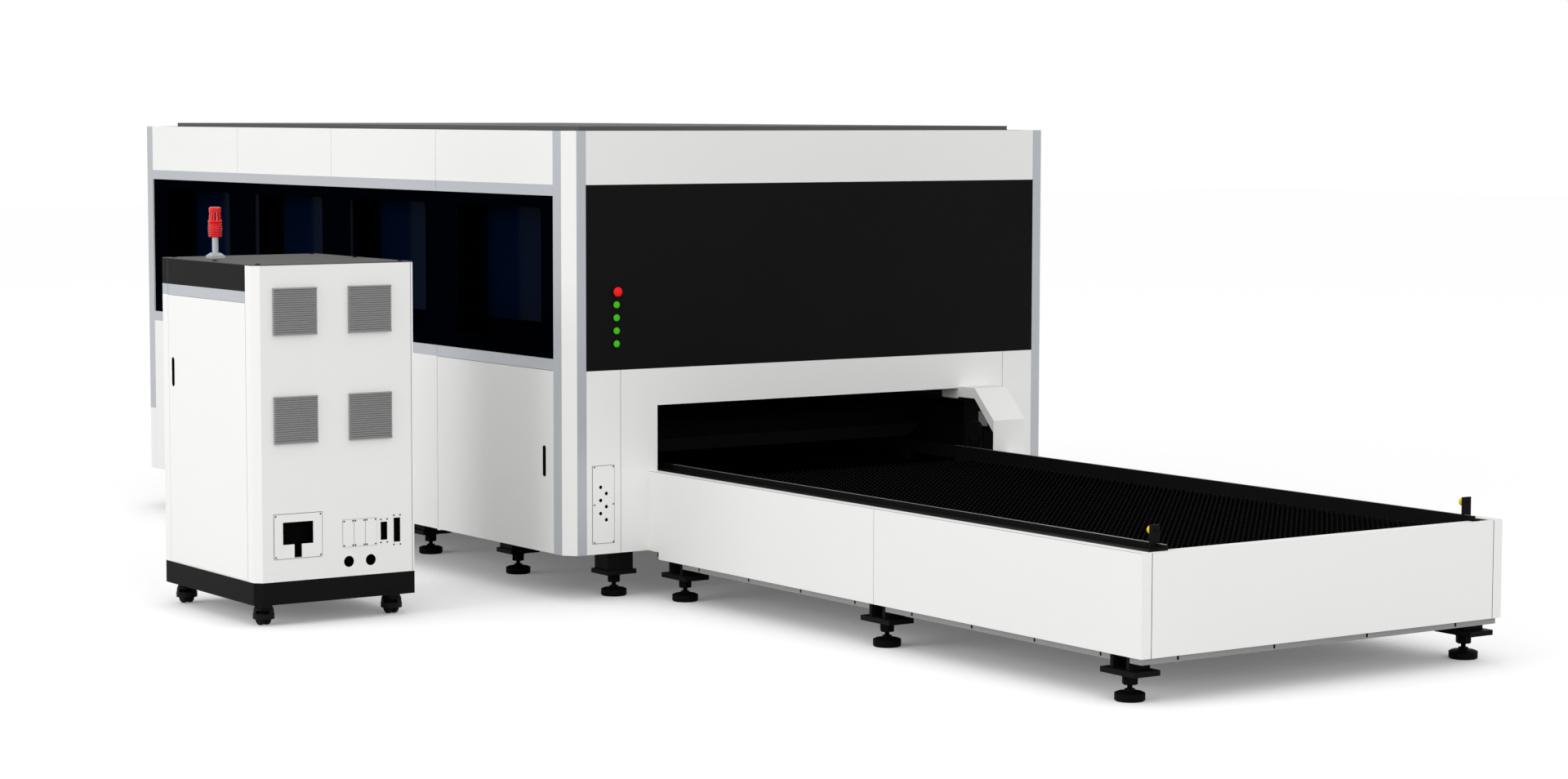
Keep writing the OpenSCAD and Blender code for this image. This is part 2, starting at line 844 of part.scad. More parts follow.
door_h = rail_low_z - panel_z0;
door_gap = 3;
door_w = field_w - seam / 2 - door_gap;
door_left = field_x(1) + door_gap;
door_axis_x = door_left + hinge_in;
door_axis_y = -half_w + hinge_in;
door_fold = fold - 2;
knuckle = 2 * hinge_in;
pin_len = 30;
door_pull_x = door_left + door_w - pull_edge;
door_pull_z = panel_z0 + door_h / 2;

// Door tray with hinge blocks at its left edge, a bore for the pins and a slot for the pull
module door_leaf(x, y, z, w, h, depth, axis_x, axis_y, pull_x, pull_z, pull_length) difference() {
    union() {
        translate([x, y, z]) tray(w, h, depth);
        for (at = [z, z + h - 2 * pin_len])
            slab([axis_x - hinge_in, axis_y - hinge_in, at], [axis_x + hinge_in, axis_y + hinge_in,
                at + 2 * pin_len]);
    }
    translate([axis_x, axis_y, z - over]) cylinder(r = hinge_r + fit, h = h + 2 * over);
    translate([pull_x, y + 2 * pull_w, pull_z]) rotate([90, 90, 0])
        linear_extrude(3 * pull_w) stadium(pull_length - pull_w, pull_w / 2);
}

module flush_pull(pull_x, y, pull_z, pull_length) translate([pull_x, y, pull_z]) rotate([-90, 90,
    0]) difference() {
    linear_extrude(pull_depth) stadium(pull_length - pull_w, pull_w / 2 - weld);
    translate([0, 0, -sheet]) linear_extrude(pull_depth) stadium(pull_length - pull_w,
        pull_w / 2 - weld - sheet);
}

module service_door() color(white) place()
    door_leaf(door_left, -half_w, panel_z0, door_w, door_h - seam, door_fold, door_axis_x, door_axis_y,
        door_pull_x, door_pull_z, pull_h);

module service_door_handle() color(black) place() flush_pull(door_pull_x, -half_w, door_pull_z, pull_h);

module hinge_pins() color(steel) place() {
    // service door: a lower pin on a plate under the bottom tube, an upper pin under the rail
    translate([door_axis_x, door_axis_y, panel_z0 - run]) cylinder(r = hinge_r, h = pin_len);
    slab([door_axis_x - 15, -half_w, panel_z0 - run - 5], [door_axis_x + 15, -back + tube_w / 2,
        panel_z0 - run]);
    translate([door_axis_x, door_axis_y, rail_low_z - pin_len]) cylinder(r = hinge_r, h = pin_len);
    // cabinet door: pins between the floor plate and the strip
    translate([cab_axis_x, cab_axis_y, cab_floor]) cylinder(r = hinge_r, h = pin_len);
    translate([cab_axis_x, cab_axis_y, cab_strip_z - pin_len]) cylinder(r = hinge_r, h = pin_len);
}

// Bed

foot_xs = [for (k = [0:bed_feet - 1]) -bed_foot_end - k * (enc_len - 2 * bed_foot_end) / (bed_feet - 1)];
bed_cross = [for (k = [0:4]) -stand_first + k * (inner_end + tube_w + stand_first) / 4];
tray_t = 3;
tray_half = low_track_y - 5;

// Slag tray under the pallets
module slag_tray(x0, x1, z) slab([x0, -tray_half, z], [x1, tray_half, z + tray_t]);

module bed_frame() color(black) place() {
    slag_tray(inner_end, 0, cross_top + weld);
    both_sides() {
        tube([-enc_len + bed_end, -bed_y - bed_w, panel_z0], [-bed_end, -bed_y, bed_top], 0, bed_wall);
        for (x = bed_cross) {
            slab([x - 30, -bed_y + weld, track_base - 40], [x + 30, -track_y, track_base]);
            slab([x - 25, -low_track_y - low_track_w, cross_top + weld], [x + 25, -low_track_y,
                low_track_z - track_h]);
        }
    }
    for (x = bed_cross) tube([x - 30, -bed_y + weld, panel_z0], [x + 30, bed_y - weld, cross_top], 1);
}

module x_guide_rails() color(silver) place() both_sides() {
    slab([-enc_len + bed_end, -bed_mid - guide_w / 2, bed_top], [-bed_end, -bed_mid + guide_w / 2,
        guide_top]);
    slab([-enc_len + bed_end, -bed_y - bed_w + rack_in, bed_top],
        [-bed_end, -bed_y - bed_w + rack_in + rack_w, bed_top + rack_w]);
}

// Exchange table

module table_frame() color(dark) place() {
    slag_tray(weld, table_len - table_fold, table_beam_top + weld);
    both_sides() {
        tube([0, -table_in, table_z0], [table_len - table_fold, -beam_y, table_beam_top], 0);
        for (x = post_places) tube([x - tube_w / 2, -chain_y - sprocket_t, table_beam_top + weld],
            [x + tube_w / 2, -track_y, track_base], 2);
        // infill plates between the posts, behind the lower track
        for (k = [0:3]) slab([post_places[k] + tube_w / 2 + weld, -track_y - tray_t, table_beam_top + weld],
            [post_places[k + 1] - tube_w / 2 - weld, -track_y, track_base]);
        slab([weld, -track_y - tray_t, shaft_z + 2 * shaft_r],
            [post_first - tube_w / 2 - weld, -track_y, track_base]);
        for (x = stand_places)
            slab([x - 25, -low_track_y - low_track_w, table_beam_top + weld], [x + 25, -low_track_y,
                low_track_z - track_h]);
        difference() {
            slab([shaft_x - 2 * shaft_r, -bearing_y - bearing_t, table_beam_top + weld],
                [shaft_x + 2 * shaft_r, -bearing_y, shaft_z + 2 * shaft_r]);
            rod_y([shaft_x, -bearing_y - bearing_t - over, shaft_z], shaft_r + fit, bearing_t + 2 * over);
        }
    }
    for (x = stand_places) tube([x - 30, -beam_y + weld, table_z0], [x + 30, beam_y - weld,
        table_beam_top], 1);
}

module table_side_tray(x, w) translate([x, -table_half, table_z0]) tray(w, table_z1 - table_z0, table_fold);

module table_panels() color(white) place() {
    both_sides() {
        difference() {
            table_side_tray(0, table_seam - seam / 2);
            slab([-over, -table_half - over, table_z0 - over], [notch_len, -table_in + over, panel_z0]);
        }
        table_side_tray(table_seam + seam / 2, table_len - table_seam - seam / 2);
    }
    difference() {
        translate([table_len, -table_in + seam / 2, table_z0]) rotate([0, 0, 90])
            tray(2 * table_in - seam, table_z1 - table_z0, table_fold);
        // notches for the tracks' ends
        both_sides() slab([table_len - table_fold - over, -track_y - track_w - weld, track_base - weld],
            [track_end + weld, -track_y + weld, table_z1 + over]);
    }
}

module table_trim() color(silver) place() {
    both_sides() difference() {
        slab([table_foot_x, -table_half + trim_inset, table_z0 - trim_h],
            [table_len - trim_inset - trim_t - weld, -table_half + trim_inset + trim_t, table_z0]);
        for (x = table_foot_xs) slab([x - table_block_l / 2 - weld, -table_half, table_z0 - trim_h - over],
            [x + table_block_l / 2 + weld, -table_in, table_z0 + over]);
    }
    slab([table_len - trim_inset - trim_t, -table_half + trim_inset, table_z0 - trim_h],
        [table_len - trim_inset, table_half - trim_inset, table_z0]);
}

module track_pair(x0, x1) {
    tube([x0, -track_y - track_w, track_base], [x1, -track_y, track_floor], 0);
    slab([x0, -track_y - rail_w, track_floor - over], [x1, -track_y, track_z]);
    tube([x0, -low_track_y - low_track_w, low_track_z - track_h], [x1, -low_track_y, low_track_z], 0);
}

module pallet_tracks() color(black) place() {
    track_pair(inner_end, track_end);
    difference() {
        mirror([0, 1, 0]) track_pair(inner_end, track_end);
        // slot for the motor chain
        slab([shaft_x - sprocket_r - 20, chain_y - 6, track_base - over],
            [shaft_x + sprocket_r + 20, chain_y + sprocket_t + 6, track_z + over]);
    }
}

module stop_brackets() color(black) place() both_sides() difference() {
    union() {
        slab([stop_x, -stop_y - stop_w / 2, track_floor],
            [stop_x + stop_t, -stop_y + stop_w / 2, track_z + stop_h]);
        slab([stop_x, -stop_y - stop_w / 2, track_floor], [track_end, -track_y, track_floor + stop_t]);
    }
    // room for the rail
    slab([stop_x - over, -track_y - rail_w - weld, track_floor - over],
        [track_end + over, -stop_y + stop_w / 2 + over, track_z + weld]);
    rod_x([stop_x - over, -stop_y, bumper_z], bumper_stem_r, stop_t + 2 * over);
}

// Domed bumper with a short foot and a stem in the stop's hole
module stop_bumpers() color("gold") place() both_sides() translate([stop_x, -stop_y,
    bumper_z]) rotate([0, -90, 0])
    rotate_extrude() {
        translate([0, -bumper_stem]) square([bumper_stem_r - weld, 2 * bumper_stem]);
        square([bumper_r - 4, bumper_len - bumper_r]);
        intersection() {
            translate([0, bumper_len - bumper_r]) circle(bumper_r);
            translate([0, 3]) square([2 * bumper_r, bumper_len]);
        }
    }

// Levelling feet

table_foot_xs = [for (k = [0:table_feet - 1])
    table_foot_x + k * (table_len - table_foot_end - table_foot_x) / (table_feet - 1)];

module foot_plate(x, y, l, w) difference() {
    slab([x - l / 2, y - w / 2, foot_plate_z], [x + l / 2, y + w / 2, foot_plate_z + foot_plate_t]);
    translate([x, y, foot_plate_z - over]) cylinder(r = stud_r + weld, h = foot_plate_t + 2 * over);
}

block_wall = 8;

module bed_bracket(x, y) {
    l = bed_plate_l / 2 - plate_margin;
    w = bed_plate_w / 2 - plate_margin;
    foot_plate(x, y, bed_plate_l, bed_plate_w);
    tube([x - l, y - w, foot_plate_z + foot_plate_t + weld], [x + l, y + w, panel_z0], 2, block_wall);
}

// Channel that is open towards the outside
module table_bracket(x, y) {
    l = table_block_l / 2;
    w = table_plate_w / 2 - plate_margin;
    z = foot_plate_z + foot_plate_t + weld;
    foot_plate(x, y, table_plate_l, table_plate_w);
    difference() {
        slab([x - l, y - w, z], [x + l, y + w, table_z0]);
        slab([x - l + 2 * block_wall, y - w - over, z - over], [x + l - 2 * block_wall,
            y + w - block_wall, table_z0 + over]);
    }
}

module foot(x, y) translate([x, y, 0]) {
    rotate_extrude() polygon([[0, 0], [pad_r - 3, 0], [pad_r, 3], [pad_r, pad_h * 0.55], [pad_r * 0.75,
        pad_h],
        [stud_r + 6, pad_h], [stud_r + 6, pad_h + 9], [stud_r, pad_h + 9], [stud_r,
            foot_plate_z + foot_plate_t + 12],
        [0, foot_plate_z + foot_plate_t + 12]]);
    difference() {
        union() {
            translate([0, 0, nut_z]) cylinder(r = nut_r, h = foot_plate_z - nut_z, $fn = 6);
            translate([0, 0, foot_plate_z - 6]) cylinder(r = nut_r + 9, h = 6);
        }
        translate([0, 0, nut_z - over]) cylinder(r = stud_r + weld, h = foot_plate_z - nut_z + 2 * over);
    }
}

table_foot_y = table_half - over - table_plate_w / 2;

module foot_brackets() color(black) place() both_sides() {
    for (x = foot_xs) bed_bracket(x, -bed_mid);
    for (x = table_foot_xs) table_bracket(x, -table_foot_y);
}

module levelling_feet() color(black) place() both_sides() {
    for (x = foot_xs) foot(x, -bed_mid);
    for (x = table_foot_xs) foot(x, -table_foot_y);
}

// Exchange drive

module guard_profile(t) polygon([[-over, track_floor - over], [guard_x - t, track_floor - over],
    [guard_x - t, guard_slope_z - t * 0.4], [guard_top_x - t * 0.4, guard_z - t], [-over, guard_z - t]]);

// Open inner side of the guard, below the flange
module guard_window() polygon([[-2 * over, track_floor - over], [guard_x - sheet, track_floor - over],
    [guard_x - sheet, guard_slope_z - 1.15 * guard_flange], [guard_top_x, guard_z - guard_flange],
    [-2 * over, guard_z - guard_flange]]);

module chain_guard() color(white) place() difference() {
    union() {
        along_y(guard_y, guard_w) guard_profile(0);
        slab([-guard_tongue, guard_y, opening_top - guard_flange],
            [over, guard_y + sheet, opening_top - sheet]);
    }
    along_y(guard_y + sheet, guard_w - 2 * sheet) guard_profile(sheet);
    along_y(guard_y - over, sheet + 2 * over) guard_window();
    slab([-guard_tongue - over, opening_half, track_floor - 2 * over],
        [0, guard_y + guard_w + over, guard_z + over]);
    slab([-over, guard_y - over, opening_top - sheet], [0, opening_half + over, guard_z + over]);
    slab([-guard_tongue - over, guard_y - over, track_floor - 2 * over],
        [guard_x + over, guard_y + guard_w + over, track_floor + weld]);
}

module exchange_motor() color(dark) place() {
    y0 = chain_y + sprocket_t + 8;
    slab([8, y0 + 4, track_floor], [guard_x - 20, guard_y + guard_w - 10, track_floor + 6]);
    slab([30, y0, track_floor + 6 + weld], [170, guard_y + guard_w - 30, motor_z + 64]);
    // chain case behind the sprocket
    difference() {
        slab([over, y0 - 6, track_floor], [150, y0 - 2, motor_z + 100]);
        rod_y([shaft_x, y0 - 8, motor_z], 14 + weld, 8);
    }
    rod_x([170 + weld, (y0 + guard_y + guard_w - 30) / 2, motor_z], 48, guard_x - 190);
    rod_y([shaft_x, chain_y, motor_z], sprocket_r, sprocket_t);
    rod_y([shaft_x, chain_y + sprocket_t + weld, motor_z], 14, 8 - 2 * weld);
}

module chain_loop(length) difference() {
    stadium(length, sprocket_r + run + chain_h);
    stadium(length, sprocket_r + run);
}

module exchange_chains() color(dark) place() {
    along_y(chain_y, sprocket_t) translate([shaft_x,
        (motor_z + shaft_z) / 2]) rotate(90) chain_loop(motor_z - shaft_z);
    both_sides() {
        along_y(-long_chain_y - sprocket_t, sprocket_t)
            translate([(shaft_x + idler_x) / 2, shaft_z]) chain_loop(idler_x - shaft_x);
        rod_y([idler_x, -long_chain_y - sprocket_t, shaft_z], sprocket_r,
            sprocket_t + long_chain_y - chain_y - sprocket_t);
    }
}

module drive_shaft() color(steel) place() {
    end = long_chain_y + sprocket_t;
    rod_y([shaft_x, -end, shaft_z], shaft_r, 2 * end);
    both_sides() rod_y([shaft_x, -end, shaft_z], sprocket_r, sprocket_t);
    rod_y([shaft_x, chain_y, shaft_z], sprocket_r, sprocket_t);
}

// Gantry

block_len = 200;

module gantry_beam() color(silver) place() {
    tube([gantry_x - gantry_w / 2, -gantry_half, gantry_z], [gantry_front, gantry_half,
        gantry_z + gantry_h], 1, gantry_wall);
    both_sides() for (s = [-1, 1])
        translate([gantry_x + s * (gantry_w / 2 - block_len / 4) - block_len / 4, -bed_mid - guide_w,
            guide_top + weld])
            cube([block_len / 2, 2 * guide_w, block_h]);
    for (z = [gantry_z + 30, gantry_z + gantry_h - 55])
        slab([gantry_front + weld, -bed_y, z], [gantry_front + y_rail, bed_y, z + 25]);
}

module gantry_drives() color(dark) place() both_sides() {
    rear = gantry_x - gantry_w / 2;
    y0 = -bed_y - bed_w + 2 * rack_in;
    slab([rear - gearbox_l, y0, gantry_z], [rear, y0 + gearbox_w, gantry_z + gearbox_h]);
    translate([rear - gearbox_l / 2, y0 + gearbox_w / 2, gantry_z + gearbox_h + weld])
        cylinder(r = gearbox_w / 2, h = servo_h);
    translate([rear - gearbox_l / 2, -bed_y - bed_w + rack_in + rack_w + run + pinion_r, bed_top + over])
        cylinder(r = pinion_r, h = gantry_z - bed_top - over - weld);
}

module carriage() color(white) place() {
    slab([carriage_x, -carriage_w / 2, gantry_z + 10], [carriage_x + carriage_t, carriage_w / 2,
        gantry_z + gantry_h + 40]);
    slab([gantry_front - 140, -carriage_w / 2 + 20, gantry_z + gantry_h + weld],
        [carriage_x - weld, carriage_w / 2 - 20, gantry_z + gantry_h + 40]);
}

module z_slide() color(steel) place()
    slab([slide_x, -slide_w / 2, slide_z], [slide_x + slide_t, slide_w / 2, slide_z + slide_len]);

module cutting_head() color(dark) place() {
    translate([head_x + head_r, 0, nozzle_z]) rotate_extrude() polygon([[0, 0], [5, 0], [9, 14], [22,
        30], [26, 60],
        [head_r, 66], [head_r, 250], [head_r - 8, 262], [16, 262], [16, 300], [0, 300]]);
}

// Pallets, drawn with their outer end at x = 0 and their track's top at z = 0

function tooth_points(half) = [for (k = [0:teeth - 1]) each [
    [-half + k * 2 * half / teeth, slat_h - tooth_h], [-half + (k + 0.5) * 2 * half / teeth, slat_h]]];

module slat(half) rotate([90, 0, 90]) linear_extrude(slat_t)
    polygon(concat([[half, 0], [-half, 0]], tooth_points(half), [[half, slat_h - tooth_h]]));

slat_pitch = pallet_len / slats;

module slat_row(half) for (k = [0:slats - 1])
    translate([-(k + 0.5) * slat_pitch - slat_t / 2, 0, pallet_rise + pallet_h]) slat(half);

bevel = 85;

module pallet_beam(half, x) translate([x, 0, pallet_rise]) rotate([90, 0, 90]) linear_extrude(beam_w)
    polygon([[-half + bevel, 0], [half - bevel, 0], [half, pallet_h], [-half, pallet_h]]);

module pallet_frame(rail, half, wheel_y, wheel_w) {
    for (x = [-beam_w, -pallet_len]) pallet_beam(half, x);
    cross = (pallet_len - 2 * beam_w) / 4;
    for (k = [1:3])
        tube([-beam_w - k * cross - 25, -rail + tube_w + weld, pallet_rise],
            [-beam_w - k * cross + 25, rail - tube_w - weld, pallet_rise + pallet_h], 1);
    both_sides() {
        tube([-pallet_len + beam_w + weld, -rail, pallet_rise], [-beam_w - weld, -rail + tube_w,
            pallet_rise + pallet_h], 0);
        for (k = [0:wheels - 1]) {
            x = -2 * beam_w - wheel_r - k * (pallet_len - 4 * beam_w - 2 * wheel_r) / (wheels - 1);
            rod_y([x, -wheel_y - wheel_w, wheel_r + weld], wheel_r, wheel_w);
            rod_y([x, -wheel_y + weld, wheel_r + weld + 15], 6, wheel_y - rail - 2 * weld);
        }
    }
}

module upper_place() translate([out_end - pallet_travel, 0, track_z]) children();

module lower_place() translate([out_end, 0, low_track_z]) children();

lower_half = track_y - track_step - 5;

module upper_pallet_frame() color(dark) place() upper_place() pallet_frame(upper_rail, upper_rail + 12,
    track_y + weld, upper_wheel_w);

module upper_pallet_slats() color(black) place() upper_place() slat_row(upper_rail);

module lower_pallet_frame() color(dark) place() lower_place() pallet_frame(lower_rail, lower_half,
    low_track_y + 4, low_track_w - 8);

module lower_pallet_slats() color(black) place() lower_place() slat_row(lower_half);

// Control cabinet

cab_axis_x = door_x1 - door_gap - hinge_in;
cab_axis_y = cab_front + hinge_in;

module cab_outline(t) polygon([[cab_left_x + t, cab_front + t], [cab_right - cab_chamfer - t * 0.4,
    cab_front + t],
    [cab_right - t, cab_front + cab_chamfer + t * 0.4], [cab_right - t, cab_back - t], [cab_left_x + t,
        cab_back - t]]);

module cabinet_shell() color(white) place() difference() {
    translate([0, 0, cab_z0]) linear_extrude(cab_top - cab_cap_t - cab_z0) cab_outline(0);
    translate([0, 0, cab_floor]) linear_extrude(cab_top) cab_outline(cab_sheet);
    slab([door_x0, cab_front - over, cab_floor], [door_x1, cab_front + 2 * cab_fold, cab_top]);
    slab([cab_left_x - over, cab_front - over, cab_strip_z], [door_x1, cab_front + cab_fold, cab_top]);
    socket_cut();
    for (at = [60, 166])
        rod_x([cab_right - 20, cab_front + blank_in - 30 + at, blank_z - 64], cable_r, 40);
    for (at = [[40, 19, 33, 80], [104, 6, 33, 107]])
        slab([cab_right - 20, cab_front + blank_in + 3 * blank_w + at[0] - 20, blank_z + at[1]],
            [cab_right + over, cab_front + blank_in + 3 * blank_w + at[0] - 20 + at[2],
                blank_z + at[1] + at[3]]);
}

module cabinet_cap() color(dark) place() {
    translate([0, 0, cab_top - cab_cap_t]) linear_extrude(cab_cap_t) cab_outline(0);
    slab([cab_left_x, cab_front, cab_band_z], [door_x1, cab_front + cab_fold, cab_top - cab_cap_t - weld]);
}

castor_places = [for (x = [cab_left_x + castor_in, cab_right - castor_in], y = [cab_front + castor_in,
    cab_back - castor_in]) [x, y]];

module cabinet_plinth() color(black) place() difference() {
    translate([0, 0, castor_h]) linear_extrude(plinth_h) cab_outline(0);
    translate([0, 0, castor_h + 4]) linear_extrude(plinth_h) cab_outline(4);
    for (p = castor_places) translate([p[0], p[1], castor_h - over]) cylinder(r = stem_r + fit,
        h = 4 + 2 * over);
}

cab_door_w = door_x1 - door_x0 - seam - door_gap;
cab_pull_x = door_x0 + seam + cab_pull_edge;

// The cabinet door is drawn as its mirror image, hinged at the left, and mirrored into place
module mirrored_door() translate([2 * cab_axis_x, 0, 0]) mirror([1, 0, 0]) children();

module cabinet_door() color(white) place() mirrored_door()
    door_leaf(cab_axis_x - hinge_in, cab_front, cab_floor + 1.5, cab_door_w, cab_strip_z - cab_floor - 3,
        cab_fold,
        cab_axis_x, cab_axis_y, 2 * cab_axis_x - cab_pull_x, cab_pull_z, cab_pull_h);

module cabinet_door_handle() color(black) place() flush_pull(cab_pull_x, cab_front, cab_pull_z, cab_pull_h);

// Square grille with slanted louvres, standing on the plane x = 0
grille_rim = 6;
groove = 9;

function louvre_points(pitch) = [for (k = [0:louvres - 1]) each [
    [grille_h - groove, grille_rim + k * pitch], [grille_h - 3, grille_rim + (k + 0.1) * pitch],
    [grille_h, grille_rim + (k + 0.65) * pitch], [grille_h - groove, grille_rim + (k + 0.75) * pitch]]];

module grille() {
    pitch = (grille_w - 2 * grille_rim) / louvres;
    along_y(0, grille_w) polygon(concat([[0, 0], [grille_h, 0], [grille_h, grille_rim]],
        louvre_points(pitch),
        [[grille_h, grille_w - grille_rim], [grille_h, grille_w], [0, grille_w]]));
}

module vent_grilles() color(grey) place() for (i = [0, 1], j = [0, 1])
    translate([cab_right, cab_front + grille_front + i * grille_step - grille_w / 2,
        grille_z + j * grille_rise - grille_w / 2])
        grille();

lamp_at = [cab_left_x + lamp_x, cab_front + lamp_y, cab_top];

module signal_lamp_stand() color(silver) place() translate(lamp_at) {
    translate([-lamp_base / 2, -lamp_base / 2, 0]) cube([lamp_base, lamp_base, lamp_base_h / 2]);
    translate([0, 0, lamp_base_h / 2 - over]) rotate(45)
        cylinder(r1 = lamp_base * 0.68, r2 = lamp_pole_r * 1.8, h = lamp_base_h / 2 + over, $fn = 4);
    translate([0, 0, lamp_base_h / 2]) cylinder(r = lamp_pole_r, h = lamp_base_h / 2 + lamp_pole_h);
}

module signal_lamp_lens() color("red") place() translate(lamp_at + [0, 0, lamp_base_h + lamp_pole_h]) {
    barrel = lamp_h * 0.42;
    rotate_extrude() polygon(concat([[0, 0], [lamp_r - 4, 0]],
        [for (k = [0:4]) each [[lamp_r - 3, barrel * (k + 0.1) / 5], [lamp_r, barrel * (k + 0.35) / 5],
            [lamp_r, barrel * (k + 0.7) / 5], [lamp_r - 3, barrel * (k + 0.95) / 5]]],
        [[lamp_r - 5, barrel], [lamp_r - 8, lamp_h - 22], [lamp_r - 6, lamp_h - 20], [lamp_r - 6,
            lamp_h - 4],
            [lamp_r - 10, lamp_h], [0, lamp_h]]));
}

servos = 4;
breakers = 7;

// Mounting plate on four spacers with servo drives and breakers, above the laser source
module control_gear() color(grey) place() {
    x0 = cab_left_x + gear_margin;
    x1 = cab_right - gear_margin;
    plate_y = cab_back - cab_sheet - gear_back;
    plate_z = cab_floor + source_h + 80;
    plate_top = cab_band_z - gear_margin;
    slab([x0, plate_y, plate_z], [x1, plate_y + 2 * cab_sheet, plate_top]);
    for (x = [x0 + 15, x1 - 45], z = [plate_z + 20, plate_top - 40])
        slab([x, plate_y + 2 * cab_sheet, z], [x + 30, cab_back - cab_sheet, z + 30]);
    servo_pitch = (x1 - x0 - 40) / servos;
    for (k = [0:servos - 1]) translate([x0 + 40 + k * servo_pitch, plate_y, plate_z + 380])
        slab([0, -servo_w, 0], [servo_w, -weld, servo_drive_h]);
    for (k = [0:breakers - 1]) translate([x0 + 40 + k * breaker_w * 1.2, plate_y, plate_z + 120])
        slab([0, -1.5 * breaker_w, 0], [breaker_w, -weld, breaker_h]);
    slab([x0 + 20, cab_back - source_d - 80, cab_floor], [x1 - 20, cab_back - 80, cab_floor + source_h]);
}

// Castors

hood_z = castor_h - 38;
web_t = 8;

module castor_swivel(i) color(black) place() translate([castor_places[i][0], castor_places[i][1], 0]) {
    difference() {
        union() {
            translate([0, 0, hood_z]) cylinder(r = hood_r, h = 26);
            translate([0, 0, hood_z + 26 - over]) cylinder(r = 34,
                h = castor_h - hood_z - 26 + over - weld);
            translate([0, 0, castor_h - over]) cylinder(r = stem_r, h = 20);
        }
        rod_y([-castor_trail, -hood_r, castor_r], castor_r + 2, 2 * hood_r);
    }
    slab([-castor_trail - 12, -web_t / 2, castor_r - 9], [-castor_trail + 14, web_t / 2, hood_z + 24]);
    rod_y([-castor_trail, -web_t / 2 - run - castor_w, castor_r], axle_r, web_t + 2 * run + 2 * castor_w);
}

module castor_wheel(i) color(dark) place() translate([castor_places[i][0] - castor_trail,
    castor_places[i][1], castor_r])
    both_sides() translate([0, -web_t / 2 - run, 0]) rotate([90, 0, 0]) rotate_extrude()
        polygon([[axle_r + fit, 0], [castor_r - 2, 0], [castor_r, 3], [castor_r, castor_w - 5],
            [castor_r - 5, castor_w],
            [castor_r - 9, castor_w], [castor_r - 10, castor_w - 3], [12, castor_w - 3], [11, castor_w],
                [axle_r + fit, castor_w]]);

module castor_swivel_1() castor_swivel(0);
module castor_swivel_2() castor_swivel(1);
module castor_swivel_3() castor_swivel(2);
module castor_swivel_4() castor_swivel(3);
module castor_wheel_1() castor_wheel(0);
module castor_wheel_2() castor_wheel(1);
module castor_wheel_3() castor_wheel(2);
module castor_wheel_4() castor_wheel(3);

enclosure_frame();
corner_posts();
trim_strips();
fascia_panels();
lower_panels();
portal_panel();
black_end_panels();
window_bands();
window_panes();
roof_panels();
connector_plates();
chain_guard();
bed_frame();
x_guide_rails();
table_frame();
table_panels();
table_trim();
pallet_tracks();
stop_brackets();
stop_bumpers();
foot_brackets();
levelling_feet();
exchange_motor();
exchange_chains();
drive_shaft();
button_bezels();
emergency_stop();
start_button_1();
start_button_2();
start_button_3();
start_button_4();
service_door();
service_door_handle();
hinge_pins();
gantry_beam();
gantry_drives();
carriage();
z_slide();
cutting_head();
upper_pallet_frame();
upper_pallet_slats();
lower_pallet_frame();
lower_pallet_slats();
cabinet_shell();
cabinet_cap();
cabinet_plinth();
cabinet_door();
cabinet_door_handle();
vent_grilles();
signal_lamp_stand();
signal_lamp_lens();
control_gear();
castor_swivel_1();
castor_swivel_2();
castor_swivel_3();
castor_swivel_4();
castor_wheel_1();
castor_wheel_2();
castor_wheel_3();
castor_wheel_4();
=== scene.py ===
import json
import math

import bpy
from mathutils import Matrix, Vector


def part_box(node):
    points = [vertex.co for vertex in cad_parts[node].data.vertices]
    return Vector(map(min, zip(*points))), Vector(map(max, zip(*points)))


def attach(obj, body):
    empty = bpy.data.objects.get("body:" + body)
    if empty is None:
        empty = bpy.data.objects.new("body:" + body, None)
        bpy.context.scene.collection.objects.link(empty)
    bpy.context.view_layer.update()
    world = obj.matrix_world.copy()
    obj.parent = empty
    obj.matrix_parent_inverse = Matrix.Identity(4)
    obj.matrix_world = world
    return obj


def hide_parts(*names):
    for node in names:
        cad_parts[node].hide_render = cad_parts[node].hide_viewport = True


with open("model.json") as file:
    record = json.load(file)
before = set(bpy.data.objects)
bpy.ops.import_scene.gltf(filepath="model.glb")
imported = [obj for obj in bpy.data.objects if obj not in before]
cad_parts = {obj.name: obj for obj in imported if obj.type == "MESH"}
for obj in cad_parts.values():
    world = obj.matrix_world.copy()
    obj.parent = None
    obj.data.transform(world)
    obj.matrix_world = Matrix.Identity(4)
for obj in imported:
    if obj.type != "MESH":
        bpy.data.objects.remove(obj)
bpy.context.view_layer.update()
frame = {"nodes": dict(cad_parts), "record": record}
nodes = frame["nodes"]

# The end wall's plane and the centreline, in metres, as the solids have them
WALL_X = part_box("fascia_panels")[1].x
MID_Y = (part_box("fascia_panels")[0].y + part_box("fascia_panels")[1].y) / 2


# Camera, light and floor

LENS, SENSOR = 76.675, 36
CAMERA_AT = Vector((13.4709, -8.2730, 2.2113))
TURN, DIP, ROLL = math.radians(55.60), math.radians(4.74), math.radians(0.11)
SKY_LIGHT, SKY_SEEN = 0.86, 1.0
FLOOR_SIZE, FLOOR_LIGHT, FLOOR_SEEN, FLOOR_GLOW = 120, 0.65, 0.99, 0.135


